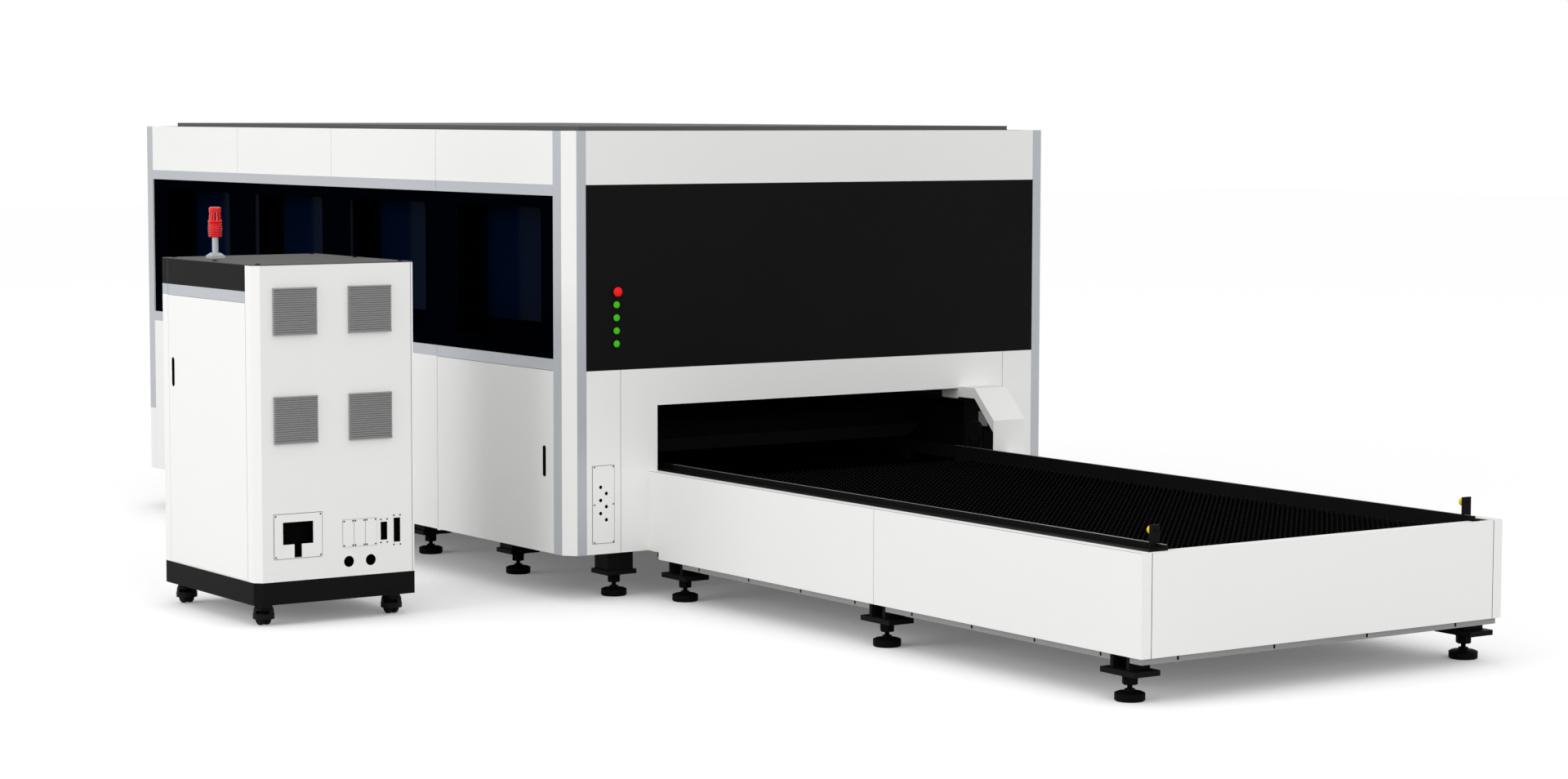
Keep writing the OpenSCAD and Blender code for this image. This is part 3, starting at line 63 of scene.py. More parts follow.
def set_camera():
    lens = bpy.data.cameras.new("photo_view")
    lens.sensor_width = SENSOR
    lens.sensor_fit = "HORIZONTAL"
    lens.lens = LENS
    lens.clip_end = 200
    eye = bpy.data.objects.new("photo_view", lens)
    bpy.context.scene.collection.objects.link(eye)
    ahead = Vector((-math.sin(TURN) * math.cos(DIP), math.cos(TURN) * math.cos(DIP), -math.sin(DIP)))
    aim = ahead.to_track_quat("-Z", "Y").to_matrix().to_4x4()
    eye.matrix_world = Matrix.Translation(CAMERA_AT) @ aim @ Matrix.Rotation(ROLL, 4, "Z")
    bpy.context.scene.camera = eye


def area_lamp(name, place, toward, size, power):
    lamp = bpy.data.lights.new(name, "AREA")
    lamp.shape = "RECTANGLE"
    lamp.size, lamp.size_y = size
    lamp.energy = power
    shade = bpy.data.objects.new(name, lamp)
    bpy.context.scene.collection.objects.link(shade)
    look = Vector(toward) - Vector(place)
    shade.matrix_world = Matrix.Translation(place) @ look.to_track_quat("-Z", "Y").to_matrix().to_4x4()


# Sockets of a Mix node that mixes colours
MIX_SHARE, MIX_FIRST, MIX_SECOND, MIX_OUT = 0, 6, 7, 2


def grey(level):
    return (level, level, level, 1)


def blend(tree, share, first, second):
    """Mix of two colours, each a value or another node's output."""
    mix = tree.nodes.new("ShaderNodeMix")
    mix.data_type = "RGBA"
    tree.links.new(share, mix.inputs[MIX_SHARE])
    for spot, colour in ((MIX_FIRST, first), (MIX_SECOND, second)):
        if isinstance(colour, tuple):
            mix.inputs[spot].default_value = colour
        else:
            tree.links.new(colour, mix.inputs[spot])
    return mix.outputs[MIX_OUT]


def seen_directly(tree):
    """One for rays that show the background itself: from the camera, in a gloss or through glass."""
    path = tree.nodes.new("ShaderNodeLightPath")
    either = tree.nodes.new("ShaderNodeMath")
    either.operation = "MAXIMUM"
    tree.links.new(path.outputs["Is Camera Ray"], either.inputs[0])
    tree.links.new(path.outputs["Is Glossy Ray"], either.inputs[1])
    any_of = tree.nodes.new("ShaderNodeMath")
    any_of.operation = "MAXIMUM"
    tree.links.new(either.outputs[0], any_of.inputs[0])
    tree.links.new(path.outputs["Is Transmission Ray"], any_of.inputs[1])
    return any_of.outputs[0]


def set_world():
    world = bpy.data.worlds.new("studio")
    bpy.context.scene.world = world
    world.use_nodes = True
    tree = world.node_tree
    tree.nodes.clear()
    out = tree.nodes.new("ShaderNodeOutputWorld")
    soft = tree.nodes.new("ShaderNodeBackground")
    soft.inputs["Color"].default_value = (1, 1, 1, 1)
    soft.inputs["Strength"].default_value = SKY_LIGHT
    white = tree.nodes.new("ShaderNodeBackground")
    white.inputs["Color"].default_value = (1, 1, 1, 1)
    white.inputs["Strength"].default_value = SKY_SEEN
    mix = tree.nodes.new("ShaderNodeMixShader")
    tree.links.new(seen_directly(tree), mix.inputs[0])
    tree.links.new(soft.outputs[0], mix.inputs[1])
    tree.links.new(white.outputs[0], mix.inputs[2])
    tree.links.new(mix.outputs[0], out.inputs[0])


def set_floor():
    bpy.ops.mesh.primitive_plane_add(size=FLOOR_SIZE, location=(0, 0, 0))
    floor = bpy.context.object
    floor.name = "studio_floor"
    mat = bpy.data.materials.new("studio_floor")
    mat.use_nodes = True
    tree = mat.node_tree
    tree.nodes.clear()
    out = tree.nodes.new("ShaderNodeOutputMaterial")
    paint = tree.nodes.new("ShaderNodeBsdfDiffuse")
    seen = seen_directly(tree)
    tone = blend(tree, seen, grey(FLOOR_LIGHT), grey(FLOOR_SEEN))
    tree.links.new(tone, paint.inputs["Color"])
    glow = tree.nodes.new("ShaderNodeEmission")
    glow.inputs["Color"].default_value = (1, 1, 1, 1)
    add = tree.nodes.new("ShaderNodeAddShader")
    share = tree.nodes.new("ShaderNodeMath")
    share.operation = "MULTIPLY"
    share.inputs[1].default_value = FLOOR_GLOW
    tree.links.new(seen, share.inputs[0])
    tree.links.new(share.outputs[0], glow.inputs["Strength"])
    tree.links.new(paint.outputs[0], add.inputs[0])
    tree.links.new(glow.outputs[0], add.inputs[1])
    tree.links.new(add.outputs[0], out.inputs[0])
    floor.data.materials.append(mat)


# Finishes

ROUGH_SPREAD, RELIEF = 0.05, 0.001


def finish(name, colour, rough, metal=0.0, spread=0.04, grain=400.0, bump=0.02, cloud=1.5, gloss=0.5):
    """Principled material with a slow drift in colour, a fine grain in gloss and a fine relief."""
    mat = bpy.data.materials.new(name)
    mat.use_nodes = True
    tree = mat.node_tree
    shader = tree.nodes["Principled BSDF"]
    shader.inputs["Metallic"].default_value = metal
    shader.inputs["Specular IOR Level"].default_value = gloss
    where = tree.nodes.new("ShaderNodeTexCoord").outputs["Object"]

    drift = tree.nodes.new("ShaderNodeTexNoise")
    drift.inputs["Scale"].default_value = cloud
    drift.inputs["Detail"].default_value = 4
    tree.links.new(where, drift.inputs["Vector"])
    darker = tuple(c * (1 - spread) for c in colour[:3]) + (1,)
    lighter = tuple(min(c * (1 + spread), 1) for c in colour[:3]) + (1,)
    tree.links.new(blend(tree, drift.outputs[0], darker, lighter), shader.inputs["Base Color"])

    fine = tree.nodes.new("ShaderNodeTexNoise")
    fine.inputs["Scale"].default_value = grain
    fine.inputs["Detail"].default_value = 2
    tree.links.new(where, fine.inputs["Vector"])
    dull = tree.nodes.new("ShaderNodeMapRange")
    dull.inputs["To Min"].default_value = max(rough - ROUGH_SPREAD, 0.02)
    dull.inputs["To Max"].default_value = min(rough + ROUGH_SPREAD, 1)
    tree.links.new(fine.outputs[0], dull.inputs["Value"])
    tree.links.new(dull.outputs[0], shader.inputs["Roughness"])
    relief = tree.nodes.new("ShaderNodeBump")
    relief.inputs["Strength"].default_value = bump
    relief.inputs["Distance"].default_value = RELIEF
    tree.links.new(fine.outputs[0], relief.inputs["Height"])
    tree.links.new(relief.outputs[0], shader.inputs["Normal"])
    return mat


FINISH = {
    "white_paint": finish("white_powder_coat", (0.865, 0.865, 0.850, 1), 0.5, spread=0.012, bump=0.05, gloss=0.12),
    "black_paint": finish("black_satin_paint", (0.0075, 0.0070, 0.0072, 1), 0.5, spread=0.15, bump=0.05, gloss=0.03),
    "dark_grey_paint": finish("dark_grey_paint", (0.022, 0.022, 0.022, 1), 0.5, spread=0.1, bump=0.05, gloss=0.08),
    "grey_paint": finish("grey_paint", (0.28, 0.28, 0.28, 1), 0.5, spread=0.06, bump=0.05, gloss=0.2),
    "anodised_aluminium": finish("anodised_aluminium", (0.47, 0.49, 0.52, 1), 0.38, metal=0.35, spread=0.05,
                                 grain=60, bump=0.02, gloss=0.3),
    "bright_steel": finish("ground_steel", (0.55, 0.56, 0.57, 1), 0.32, metal=1.0, spread=0.06, grain=250),
    "dark_steel": finish("dark_mill_steel", (0.0035, 0.0035, 0.0038, 1), 0.6, spread=0.25, gloss=0.03),
    "dark_window_sheet": finish("dark_window_sheet", (0.0003, 0.0006, 0.0018, 1), 0.3, spread=0.2, bump=0, gloss=0.0),
    "safety_pane": finish("navy_safety_pane", (0.0002, 0.0030, 0.0120, 1), 0.12, spread=0.1, bump=0, gloss=0.004),
    "grey_plastic": finish("grey_moulded_plastic", (0.32, 0.32, 0.32, 1), 0.55, spread=0.05, bump=0.06, gloss=0.2),
    "black_plastic": finish("black_moulded_plastic", (0.006, 0.006, 0.006, 1), 0.5, spread=0.15, gloss=0.08),
    "castor_rubber": finish("castor_rubber", (0.006, 0.006, 0.006, 1), 0.7, spread=0.2, gloss=0.08),
    "red_plastic": finish("red_stop_plastic", (1.0, 0.010, 0.010, 1), 0.35, spread=0.03, gloss=0.15),
    "red_lens": finish("red_lamp_lens", (0.80, 0.010, 0.010, 1), 0.2, spread=0.08, gloss=0.35),
    "green_plastic": finish("green_button_plastic", (0.055, 0.56, 0.003, 1), 0.35, spread=0.06, gloss=0.2),
    "yellow_rubber": finish("yellow_bumper_rubber", (1.0, 0.66, 0.008, 1), 0.5, spread=0.05, gloss=0.2),
    # Grey of the cabinet's joints, also used for the painted shadow lines round the plates.
    "joint_and_shade_grey": finish("joint_and_shade_grey", (0.12, 0.12, 0.12, 1), 0.6, spread=0.1, gloss=0.1),
    "pit_black": finish("pit_black_plastic", (0.0015, 0.0015, 0.0015, 1), 0.7, spread=0.2, gloss=0.02),
    # Grey of the strips on the rails' tops: a painted highlight along the track's edge.
    "rail_glint": finish("painted_rail_highlight", (0.20, 0.20, 0.20, 1), 0.4, spread=0.35, cloud=8, gloss=0.3),
    "roof_grey": finish("grey_roof_paint", (0.13, 0.13, 0.13, 1), 0.6, spread=0.05, bump=0.05, gloss=0.05),
    "joint_dark": finish("dark_panel_joint", (0.02, 0.02, 0.02, 1), 0.7, spread=0.15, gloss=0.05),
    "chain_steel": finish("oiled_chain_steel", (0.010, 0.010, 0.010, 1), 0.4, spread=0.3, cloud=40, gloss=0.25),
}


def own_height(tree):
    """Height in the piece's own coordinates."""
    split = tree.nodes.new("ShaderNodeSeparateXYZ")
    tree.links.new(tree.nodes.new("ShaderNodeTexCoord").outputs["Object"], split.inputs[0])
    return split.outputs["Z"]


def banded(node, below, above, height):
    """Finish that changes from one tone to another at a height, in metres above the floor."""
    mat = finish(f"{node}_paint", below, 0.5, spread=0.08, bump=0.05, gloss=0.04)
    tree = mat.node_tree
    shader = tree.nodes["Principled BSDF"]
    lower = shader.inputs["Base Color"].links[0].from_socket
    over = tree.nodes.new("ShaderNodeMath")
    over.operation = "GREATER_THAN"
    over.inputs[1].default_value = (nodes[node].matrix_world.inverted() @ Vector((0, 0, height))).z
    tree.links.new(own_height(tree), over.inputs[0])
    tree.links.new(blend(tree, over.outputs[0], lower, above), shader.inputs["Base Color"])
    return mat


OWN_FINISH = {
    "roof_panels": FINISH["roof_grey"],
    # The band is darker paint. The lighter top face is painted light, standing in for the light falling on the top
    # from above.
    "cabinet_cap": banded("cabinet_cap", (0.008, 0.008, 0.008, 1), (0.082, 0.082, 0.080, 1),
                          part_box("cabinet_cap")[1].z - 0.003),
}


def dress_nodes():
    for row in frame["record"]["subparts"]:
        part = nodes[row["node"]]
        part.data.materials.clear()
        part.data.materials.append(OWN_FINISH.get(row["node"]) or FINISH[row["material_slot"]])


# Modelling

def leave_edit():
    bpy.ops.object.mode_set(mode="OBJECT")


def clear_selection():
    if bpy.context.mode != "OBJECT":
        leave_edit()
    bpy.ops.object.select_all(action="DESELECT")


def pick(*pieces):
    """Only these pieces selected, the first one active."""
    clear_selection()
    for piece in pieces:
        piece.select_set(True)
    bpy.context.view_layer.objects.active = pieces[0]


def at(x, y, z):
    """Point in metres from millimetres along, across and above: from the end wall, the centreline and the floor."""
    return Vector((WALL_X + x / 1000, MID_Y + y / 1000, z / 1000))


def block(low, high):
    """Box between two corners."""
    clear_selection()
    bpy.ops.mesh.primitive_cube_add(size=1, location=(low + high) / 2, scale=high - low)
    bpy.ops.object.transform_apply(location=True, rotation=True, scale=True)
    return bpy.context.object


def stand_up(middle, width, height):
    """Turn a new flat sheet across the machine, at its size and place."""
    sheet = bpy.context.object
    sheet.scale = (width, height, 1)
    sheet.rotation_euler = (math.pi / 2, 0, math.pi / 2)
    sheet.location = middle
    bpy.ops.object.transform_apply(location=True, rotation=True, scale=True)
    return sheet


def pick_faces(piece, wanted):
    """Edit mode with only the wanted faces selected, by their centre and normal."""
    pick(piece)
    bpy.ops.object.mode_set(mode="EDIT")
    bpy.ops.mesh.select_mode(type="FACE")
    bpy.ops.mesh.select_all(action="DESELECT")
    leave_edit()
    for face in piece.data.polygons:
        face.select = bool(wanted(face.center, face.normal))
    bpy.ops.object.mode_set(mode="EDIT")


def pick_points(piece, wanted):
    """Edit mode with only the wanted points selected."""
    pick(piece)
    bpy.ops.object.mode_set(mode="EDIT")
    bpy.ops.mesh.select_mode(type="VERT")
    bpy.ops.mesh.select_all(action="DESELECT")
    leave_edit()
    for point in piece.data.vertices:
        point.select = bool(wanted(point.co))
    bpy.ops.object.mode_set(mode="EDIT")


def draw_out(move):
    """Extrude the selected faces by a move."""
    bpy.ops.mesh.extrude_region_move(TRANSFORM_OT_translate={"value": move})


def press(piece, wanted, border, move):
    """Inset the wanted faces by a border and move what it encloses in or out."""
    pick_faces(piece, wanted)
    bpy.ops.mesh.inset(thickness=border)
    draw_out(move)
    leave_edit()
    return piece


def cut_across(piece, point, normal):
    """Cut all faces along a plane and keep both sides."""
    pick_faces(piece, lambda c, n: True)
    bpy.ops.mesh.bisect(plane_co=point, plane_no=normal)
    leave_edit()


def give_wall(piece, thickness, offset):
    """Turn an open shell into a sheet of a thickness."""
    pick(piece)
    wall = piece.modifiers.new("wall", "SOLIDIFY")
    wall.thickness = thickness
    wall.offset = offset
    bpy.ops.object.modifier_apply(modifier="wall")
    return piece


def round_edges(piece, width, steps=2):
    pick(piece)
    bpy.ops.object.mode_set(mode="EDIT")
    bpy.ops.mesh.select_all(action="SELECT")
    bpy.ops.mesh.bevel(offset=width, segments=steps, affect="EDGES")
    leave_edit()
    return piece


def face_outwards(piece):
    pick(piece)
    bpy.ops.object.mode_set(mode="EDIT")
    bpy.ops.mesh.select_all(action="SELECT")
    bpy.ops.mesh.remove_doubles(threshold=0.00001)
    bpy.ops.mesh.normals_make_consistent(inside=False)
    leave_edit()
    return piece


def turned(foot, steps, sides=32, axis="Z"):
    """Turned body: a disc drawn up from its foot through radius and height steps in millimetres."""
    clear_selection()
    r0, h0 = steps[0]
    bpy.ops.mesh.primitive_circle_add(vertices=sides, radius=r0 / 1000, fill_type="NGON",
                                      location=(0, 0, h0 / 1000))
    bpy.ops.object.transform_apply(location=True, rotation=True, scale=True)
    piece = bpy.context.object
    bpy.ops.object.mode_set(mode="EDIT")
    bpy.ops.mesh.select_all(action="SELECT")
    for (ra, ha), (rb, hb) in zip(steps, steps[1:]):
        draw_out((0, 0, (hb - ha) / 1000))
        bpy.ops.transform.resize(value=(rb / ra, rb / ra, 1), center_override=(0, 0, hb / 1000))
    bpy.ops.mesh.select_all(action="SELECT")
    bpy.ops.mesh.normals_make_consistent(inside=False)
    leave_edit()
    turn = {"Z": (0, 0, 0), "X": (0, math.pi / 2, 0), "-X": (0, -math.pi / 2, 0), "Y": (-math.pi / 2, 0, 0),
            "-Y": (math.pi / 2, 0, 0)}[axis]
    piece.rotation_euler = turn
    piece.location = foot
    bpy.ops.object.transform_apply(location=True, rotation=True, scale=True)
    return piece


def smooth(piece, angle=35):
    pick(piece)
    bpy.ops.object.shade_smooth_by_angle(angle=math.radians(angle))
    return piece


def copied(piece, moves):
    """Copies of the piece, each moved from the piece's own place."""
    made = []
    for move in moves:
        pick(piece)
        bpy.ops.object.duplicate(linked=False)
        twin = bpy.context.object
        twin.location = Vector(move)
        bpy.ops.object.transform_apply(location=True, rotation=True, scale=True)
        made.append(twin)
    return made


def one_piece(parts):
    pick(*parts)
    if len(parts) > 1:
        bpy.ops.object.join()
    return bpy.context.object


def drop(piece):
    pick(piece)
    bpy.ops.object.delete()


def row_of(piece, count, step):
    """Array the piece along a step and apply it."""
    pick(piece)
    rows = piece.modifiers.new("row", "ARRAY")
    rows.count = count
    rows.use_relative_offset = False
    rows.use_constant_offset = True
    rows.constant_offset_displace = step
    bpy.ops.object.modifier_apply(modifier="row")
    return piece


def fit(piece, name, body, slot, look=None, stands_for=()):
    """Name the piece, give it its finish and hang it on its body."""
    pick(piece)
    bpy.ops.object.transform_apply(location=True, rotation=True, scale=True)
    piece.name = piece.data.name = name
    piece.data.materials.clear()
    piece.data.materials.append(look or FINISH[slot])
    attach(piece, body)
    if stands_for:
        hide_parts(*stands_for)
    return piece


# Toothed slats of the pallets

# The last value is the depth of the painted highlight at the tooth tips.
SLATS, TEETH, TOOTH, SLAT_T, GLINT_DEPTH = 54, 56, 0.018, 0.004, 0.004


def toothed_slat(low, high):
    """A strip across the pallet whose upper edge is drawn down at every second point."""
    clear_selection()
    length, height = high.y - low.y, high.z - low.z
    bpy.ops.mesh.primitive_grid_add(x_subdivisions=2 * TEETH, y_subdivisions=1, size=1)
    slat = stand_up(Vector((low.x, (low.y + high.y) / 2, (low.z + high.z) / 2)), length, height)
    step = length / (2 * TEETH)
    pick_points(slat, lambda p: p.z > high.z - 0.001 and round((p.y - low.y) / step) % 2 == 0)
    bpy.ops.transform.translate(value=(0, 0, -TOOTH))
    bpy.ops.mesh.select_all(action="SELECT")
    draw_out((SLAT_T, 0, 0))
    bpy.ops.mesh.select_all(action="SELECT")
    bpy.ops.mesh.dissolve_limited(angle_limit=0.01)
    leave_edit()
    return face_outwards(slat)


def pallet_slats(level):
    node = f"{level}_pallet_slats"
    low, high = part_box(node)
    pitch = (high.x - low.x - SLAT_T) / (SLATS - 1)
    slats = row_of(toothed_slat(low, high), SLATS, (pitch, 0, 0))
    fit(slats, f"{level}_toothed_slats", f"{level}_pallet", "dark_steel", slat_steel(level, high.z), [node])


def slat_steel(level, tip_z):
    """Dark steel whose tooth tips are painted lighter, a painted highlight for the glints on the tips."""
    mat = finish(f"{level}_slat_steel", (0.0012, 0.0012, 0.0013, 1), 0.5, spread=0.3, cloud=25, gloss=0.02)
    tree = mat.node_tree
    shader = tree.nodes["Principled BSDF"]
    dark = shader.inputs["Base Color"].links[0].from_socket
    near_tip = tree.nodes.new("ShaderNodeMapRange")
    near_tip.inputs["From Min"].default_value = tip_z - GLINT_DEPTH
    near_tip.inputs["From Max"].default_value = tip_z
    tree.links.new(own_height(tree), near_tip.inputs["Value"])
    # Painted highlight: the top of each tooth is lighter, standing in for the glints on the tips.
    glint = (0.035, 0.035, 0.036, 1)
    tree.links.new(blend(tree, near_tip.outputs[0], dark, glint), shader.inputs["Base Color"])
    return mat


# Plates and screws on the end wall and the cabinet

CAB_X, CAB_Y, CAB_LEN, CAB_TOP = -113, -2860, 938, 1560
CAB_STILE, CAB_SEAM_TOP = 57, 1556
SOCKET = (85, 292, 227, 192)
BLANK_Y, BLANK_Z, BLANK_W, BLANK_H = 412, 322, 55, 119
SLOTS = [(BLANK_Y + 185, 341, 33, 80), (BLANK_Y + 249, 328, 33, 107)]
GLAND_Y = -1191
GLAND = (GLAND_Y - 56.5, 263, 113, 352)


def screw_head(r=3.6):
    """Pan-head screw on the plane x = 0 with a sunk drive."""
    head = turned(Vector((0, 0, 0)), [(r, 0), (r, 1.1), (0.75 * r, 1.8)], sides=12, axis="X")
    return smooth(press(head, lambda c, n: n.x > 0.9, 0.35 * r / 1000, (-0.0009, 0, 0)))


def corners(y, z, w, h, inset):
    return [(y + a, z + b) for a in (inset, w - inset) for b in (inset, h - inset)]


def plate_screws():
    head = screw_head()
    spots = [at(2, GLAND_Y + dy, z) for dy in (-48, 52) for z in (610, 439, 267)]
    spots += [at(CAB_X + 2, CAB_Y + y, z) for y, z in corners(*SOCKET, 7)]
    for k in range(3):
        blank = corners(BLANK_Y + k * BLANK_W, BLANK_Z, BLANK_W, BLANK_H, 6)
        spots += [at(CAB_X + 2, CAB_Y + y, z) for y, z in blank]
    for y, z, w, h in SLOTS:
        spots += [at(CAB_X, CAB_Y + y, z) for y, z in corners(y, z - 12, w, h + 24, 1)]
    screws = one_piece(copied(head, spots))
    drop(head)
    fit(screws, "plate_screws", "root", "dark_steel")


def rim_sheet(y, z, w, h, x, border=2.2, t=0.8):
    """Thin dark rim round a plate: a painted shadow line at the plate's edge."""
    clear_selection()
    bpy.ops.mesh.primitive_plane_add(size=1)
    rim = stand_up(at(x, y + w / 2, z + h / 2), (w + 2 * border) / 1000, (h + 2 * border) / 1000)
    pick_faces(rim, lambda c, n: True)
    bpy.ops.mesh.inset(thickness=3 * border / 1000)
    bpy.ops.mesh.delete(type="FACE")
    bpy.ops.mesh.select_all(action="SELECT")
    draw_out((t / 1000, 0, 0))
    leave_edit()
    return face_outwards(rim)


def plate_shadow_rims():
    # Painted shadow lines round the gland plate, the socket plate and the blank plates.
    y, z, w, h = GLAND
    shade_rims = [rim_sheet(y, z, w, h, 0)]
    y, z, w, h = SOCKET
    shade_rims.append(rim_sheet(CAB_Y + y, z, w, h, CAB_X))
    for k in range(3):
        shade_rims.append(rim_sheet(CAB_Y + BLANK_Y + k * BLANK_W + 1, BLANK_Z, BLANK_W - 2, BLANK_H, CAB_X, 1.0))
    fit(one_piece(shade_rims), "plate_shadow_rims", "root", "grey_paint", FINISH["joint_and_shade_grey"])


def well(y, z, w, h, depth, x=CAB_X - 2.6):
    """Open black box behind a cut-out, with a wall of its own."""
    box = block(at(x - depth, y, z), at(x, y + w, z + h))
    pick_faces(box, lambda c, n: n.x > 0.9)
    bpy.ops.mesh.delete(type="FACE")
    leave_edit()
    return give_wall(box, 0.0015, 1)


def harness_plug(y, z, w, h):
    """Multi-pole connector in its slot: a rim with a sunk face and a middle bar."""
    plug = block(at(CAB_X - 30, CAB_Y + y + 1, z + 1), at(CAB_X - 3, CAB_Y + y + w - 1, z + h - 1))
    pick_faces(plug, lambda c, n: n.x > 0.9)
    bpy.ops.mesh.inset(thickness=0.005)
    draw_out((-0.012, 0, 0))
    bpy.ops.mesh.inset(thickness=0.006)
    draw_out((0.008, 0, 0))
    leave_edit()
    return round_edges(plug, 0.0006, 1)


def cabinet_sockets():
    y, z, w, h = SOCKET
    parts = [well(CAB_Y + y + 30, z - 6, w - 60, h - 20, 45)]
    for hole in (60, 166):
        parts.append(well(CAB_Y + BLANK_Y - 30 + hole - 30, BLANK_Z - 64 - 30, 60, 60, 40))
    parts += [harness_plug(*slot) for slot in SLOTS]
    fit(one_piece(parts), "cabinet_sockets", "root", "black_plastic", FINISH["pit_black"])


def cabinet_top_bolts():
    bolt = turned(Vector((0, 0, 0)), [(11, 0), (11, 2), (7, 4)], sides=16)
    smooth(press(bolt, lambda c, n: n.z > 0.9, 0.003, (0, 0, -0.002)))
    spots = [at(CAB_X - x, CAB_Y + y, CAB_TOP) for x in (900, 470, 40) for y in (40, 722)]
    bolts = one_piece(copied(bolt, spots))
    drop(bolt)
    fit(bolts, "cabinet_top_bolts", "root", "dark_steel")


def joint_strip(low, high):
    """Narrow strip in a joint, its edges eased."""
    return round_edges(block(low, high), 0.0002, 1)


def cabinet_seams():
    """Joints of the left stile over the band and strip, and of the back sheet on the cabinet's end."""
    left = CAB_X - CAB_LEN + CAB_STILE
    parts = [joint_strip(at(left, CAB_Y - 0.4, 1396), at(left + 1.6, CAB_Y + 0.6, CAB_SEAM_TOP)),
             joint_strip(at(CAB_X - 0.6, CAB_Y + 752, 196), at(CAB_X + 0.5, CAB_Y + 754, CAB_SEAM_TOP))]
    fit(one_piece(parts), "cabinet_seams", "root", "grey_paint", FINISH["joint_and_shade_grey"])


def trim_joints():
    """Joints of the strip under the table panels, every 400 mm on its sides and four on its end."""
    parts = []
    low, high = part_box("table_trim")
    z0, z1, width = low.z + 0.006, high.z - 0.003, 0.009
    for step in range(400, 3300, 400):
        x = WALL_X + step / 1000
        for y0, y1 in ((low.y - 0.001, low.y + 0.004), (high.y - 0.004, high.y + 0.001)):
            parts.append(joint_strip(Vector((x, y0, z0)), Vector((x + width, y1, z1))))
    for across in (-762, -274, 217, 705):
        y = MID_Y + across / 1000
        parts.append(joint_strip(Vector((high.x - 0.004, y, z0)), Vector((high.x + 0.001, y + width, z1))))
    fit(one_piece(parts), "trim_joints", "root", "black_paint", FINISH["pit_black"])


# Joints between the panels

FIELD, POST = 1098.5, 128
WALL_LOW, RAIL_LOW, FASCIA_LOW, WALL_TOP = 213, 1047, 1886, 2128
SIDE, PORTAL_IN, JOINT_HALF = 1375, 1098, 0.95
FIELD_ENDS = [-POST - k * FIELD for k in range(5)]


def enclosure_joints():
    parts = []
    for side in (-1, 1):
        for k in (1, 2, 3):
            x = FIELD_ENDS[k]
            for z0, z1 in ((FASCIA_LOW, WALL_TOP), (WALL_LOW, RAIL_LOW)):
                if side < 0 and z0 == WALL_LOW and k == 1:
                    continue  # the service door's own edge
                y0, y1 = sorted((side * (SIDE - 0.5), side * (SIDE - 8)))
                parts.append(joint_strip(at(x - JOINT_HALF, y0, z0), at(x + JOINT_HALF, y1, z1)))
        y = side * PORTAL_IN
        parts.append(joint_strip(at(-8, y - JOINT_HALF, WALL_LOW), at(-0.5, y + JOINT_HALF, RAIL_LOW)))
    fit(one_piece(parts), "enclosure_joints", "root", "black_plastic", FINISH["joint_dark"])


# Strips behind the inner window sheets, their feet on the ledges, and the cheeks that end between the wall's tubes
SHEET_IN, STRIP_IN, UPRIGHT_IN = 1190.6, 1184, 1284.6
STRIP_LOW, STRIP_HIGH, STRIP_HALF, CORNER_IN = 1074, 1858, 42, 36
FOOT_LOW, FOOT_TOP, FOOT_HALF, FOOT_BEND = 1071.2, 1074.8, 29.5, 1240
TUBES_IN, CHEEK_OUT = (1104, 1830), 0.0776


def window_mullions():
    """Dark strips that close the gaps between the inner window sheets, with feet on the ledges and end cheeks."""
    near, *between, far = FIELD_ENDS
    spans = [(x - STRIP_HALF, x + STRIP_HALF) for x in between]
    spans += [(near - STRIP_HALF, -CORNER_IN), (far - POST + CORNER_IN, far + STRIP_HALF)]
    parts = []
    for side in (-1, 1):
        for x0, x1 in spans:
            y0, y1 = sorted((side * STRIP_IN, side * SHEET_IN))
            strip = block(at(x0, y0, STRIP_LOW), at(x1, y1, STRIP_HIGH))
            parts.append(press(strip, lambda c, n: n.y * side < -0.9, 0.002, (0, side * 0.006, 0)))
        for x in between:
            y0, y1 = sorted((side * (STRIP_IN + 0.5), side * FOOT_BEND))
            foot = block(at(x - FOOT_HALF, y0, FOOT_LOW), at(x + FOOT_HALF, y1, FOOT_TOP))
            pick_faces(foot, lambda c, n: n.y * side > 0.9)
            draw_out((0, side * (UPRIGHT_IN - FOOT_BEND) / 1000, 0))
            leave_edit()
            parts.append(foot)
        for x in (near - 5, far + 1):
            y0, y1 = sorted((side * (STRIP_IN + 1), side * UPRIGHT_IN))
            cheek = block(at(x, y0, STRIP_LOW + 1.2), at(x + 4, y1, STRIP_HIGH))
            for cut in TUBES_IN:
                cut_across(cheek, at(0, 0, cut), (0, 0, 1))
            pick_faces(cheek, lambda c, n: n.y * side > 0.9 and TUBES_IN[0] < 1000 * c.z < TUBES_IN[1])
            draw_out((0, side * CHEEK_OUT, 0))
            leave_edit()
            parts.append(cheek)
    fit(one_piece(parts), "window_mullions", "root", "dark_window_sheet")


TRAY_HALF, TRAY_REAR, BEAM_IN = 753, -3560, 960
CROSS_TUBES, STAND_HALF = [-420 - 770 * k for k in range(5)], 25.6
SLAG_LOW, SLAG_TOP, SLAG_FOLD, UPSTAND_TOP = 273.4, 276.2, 3.4, 345


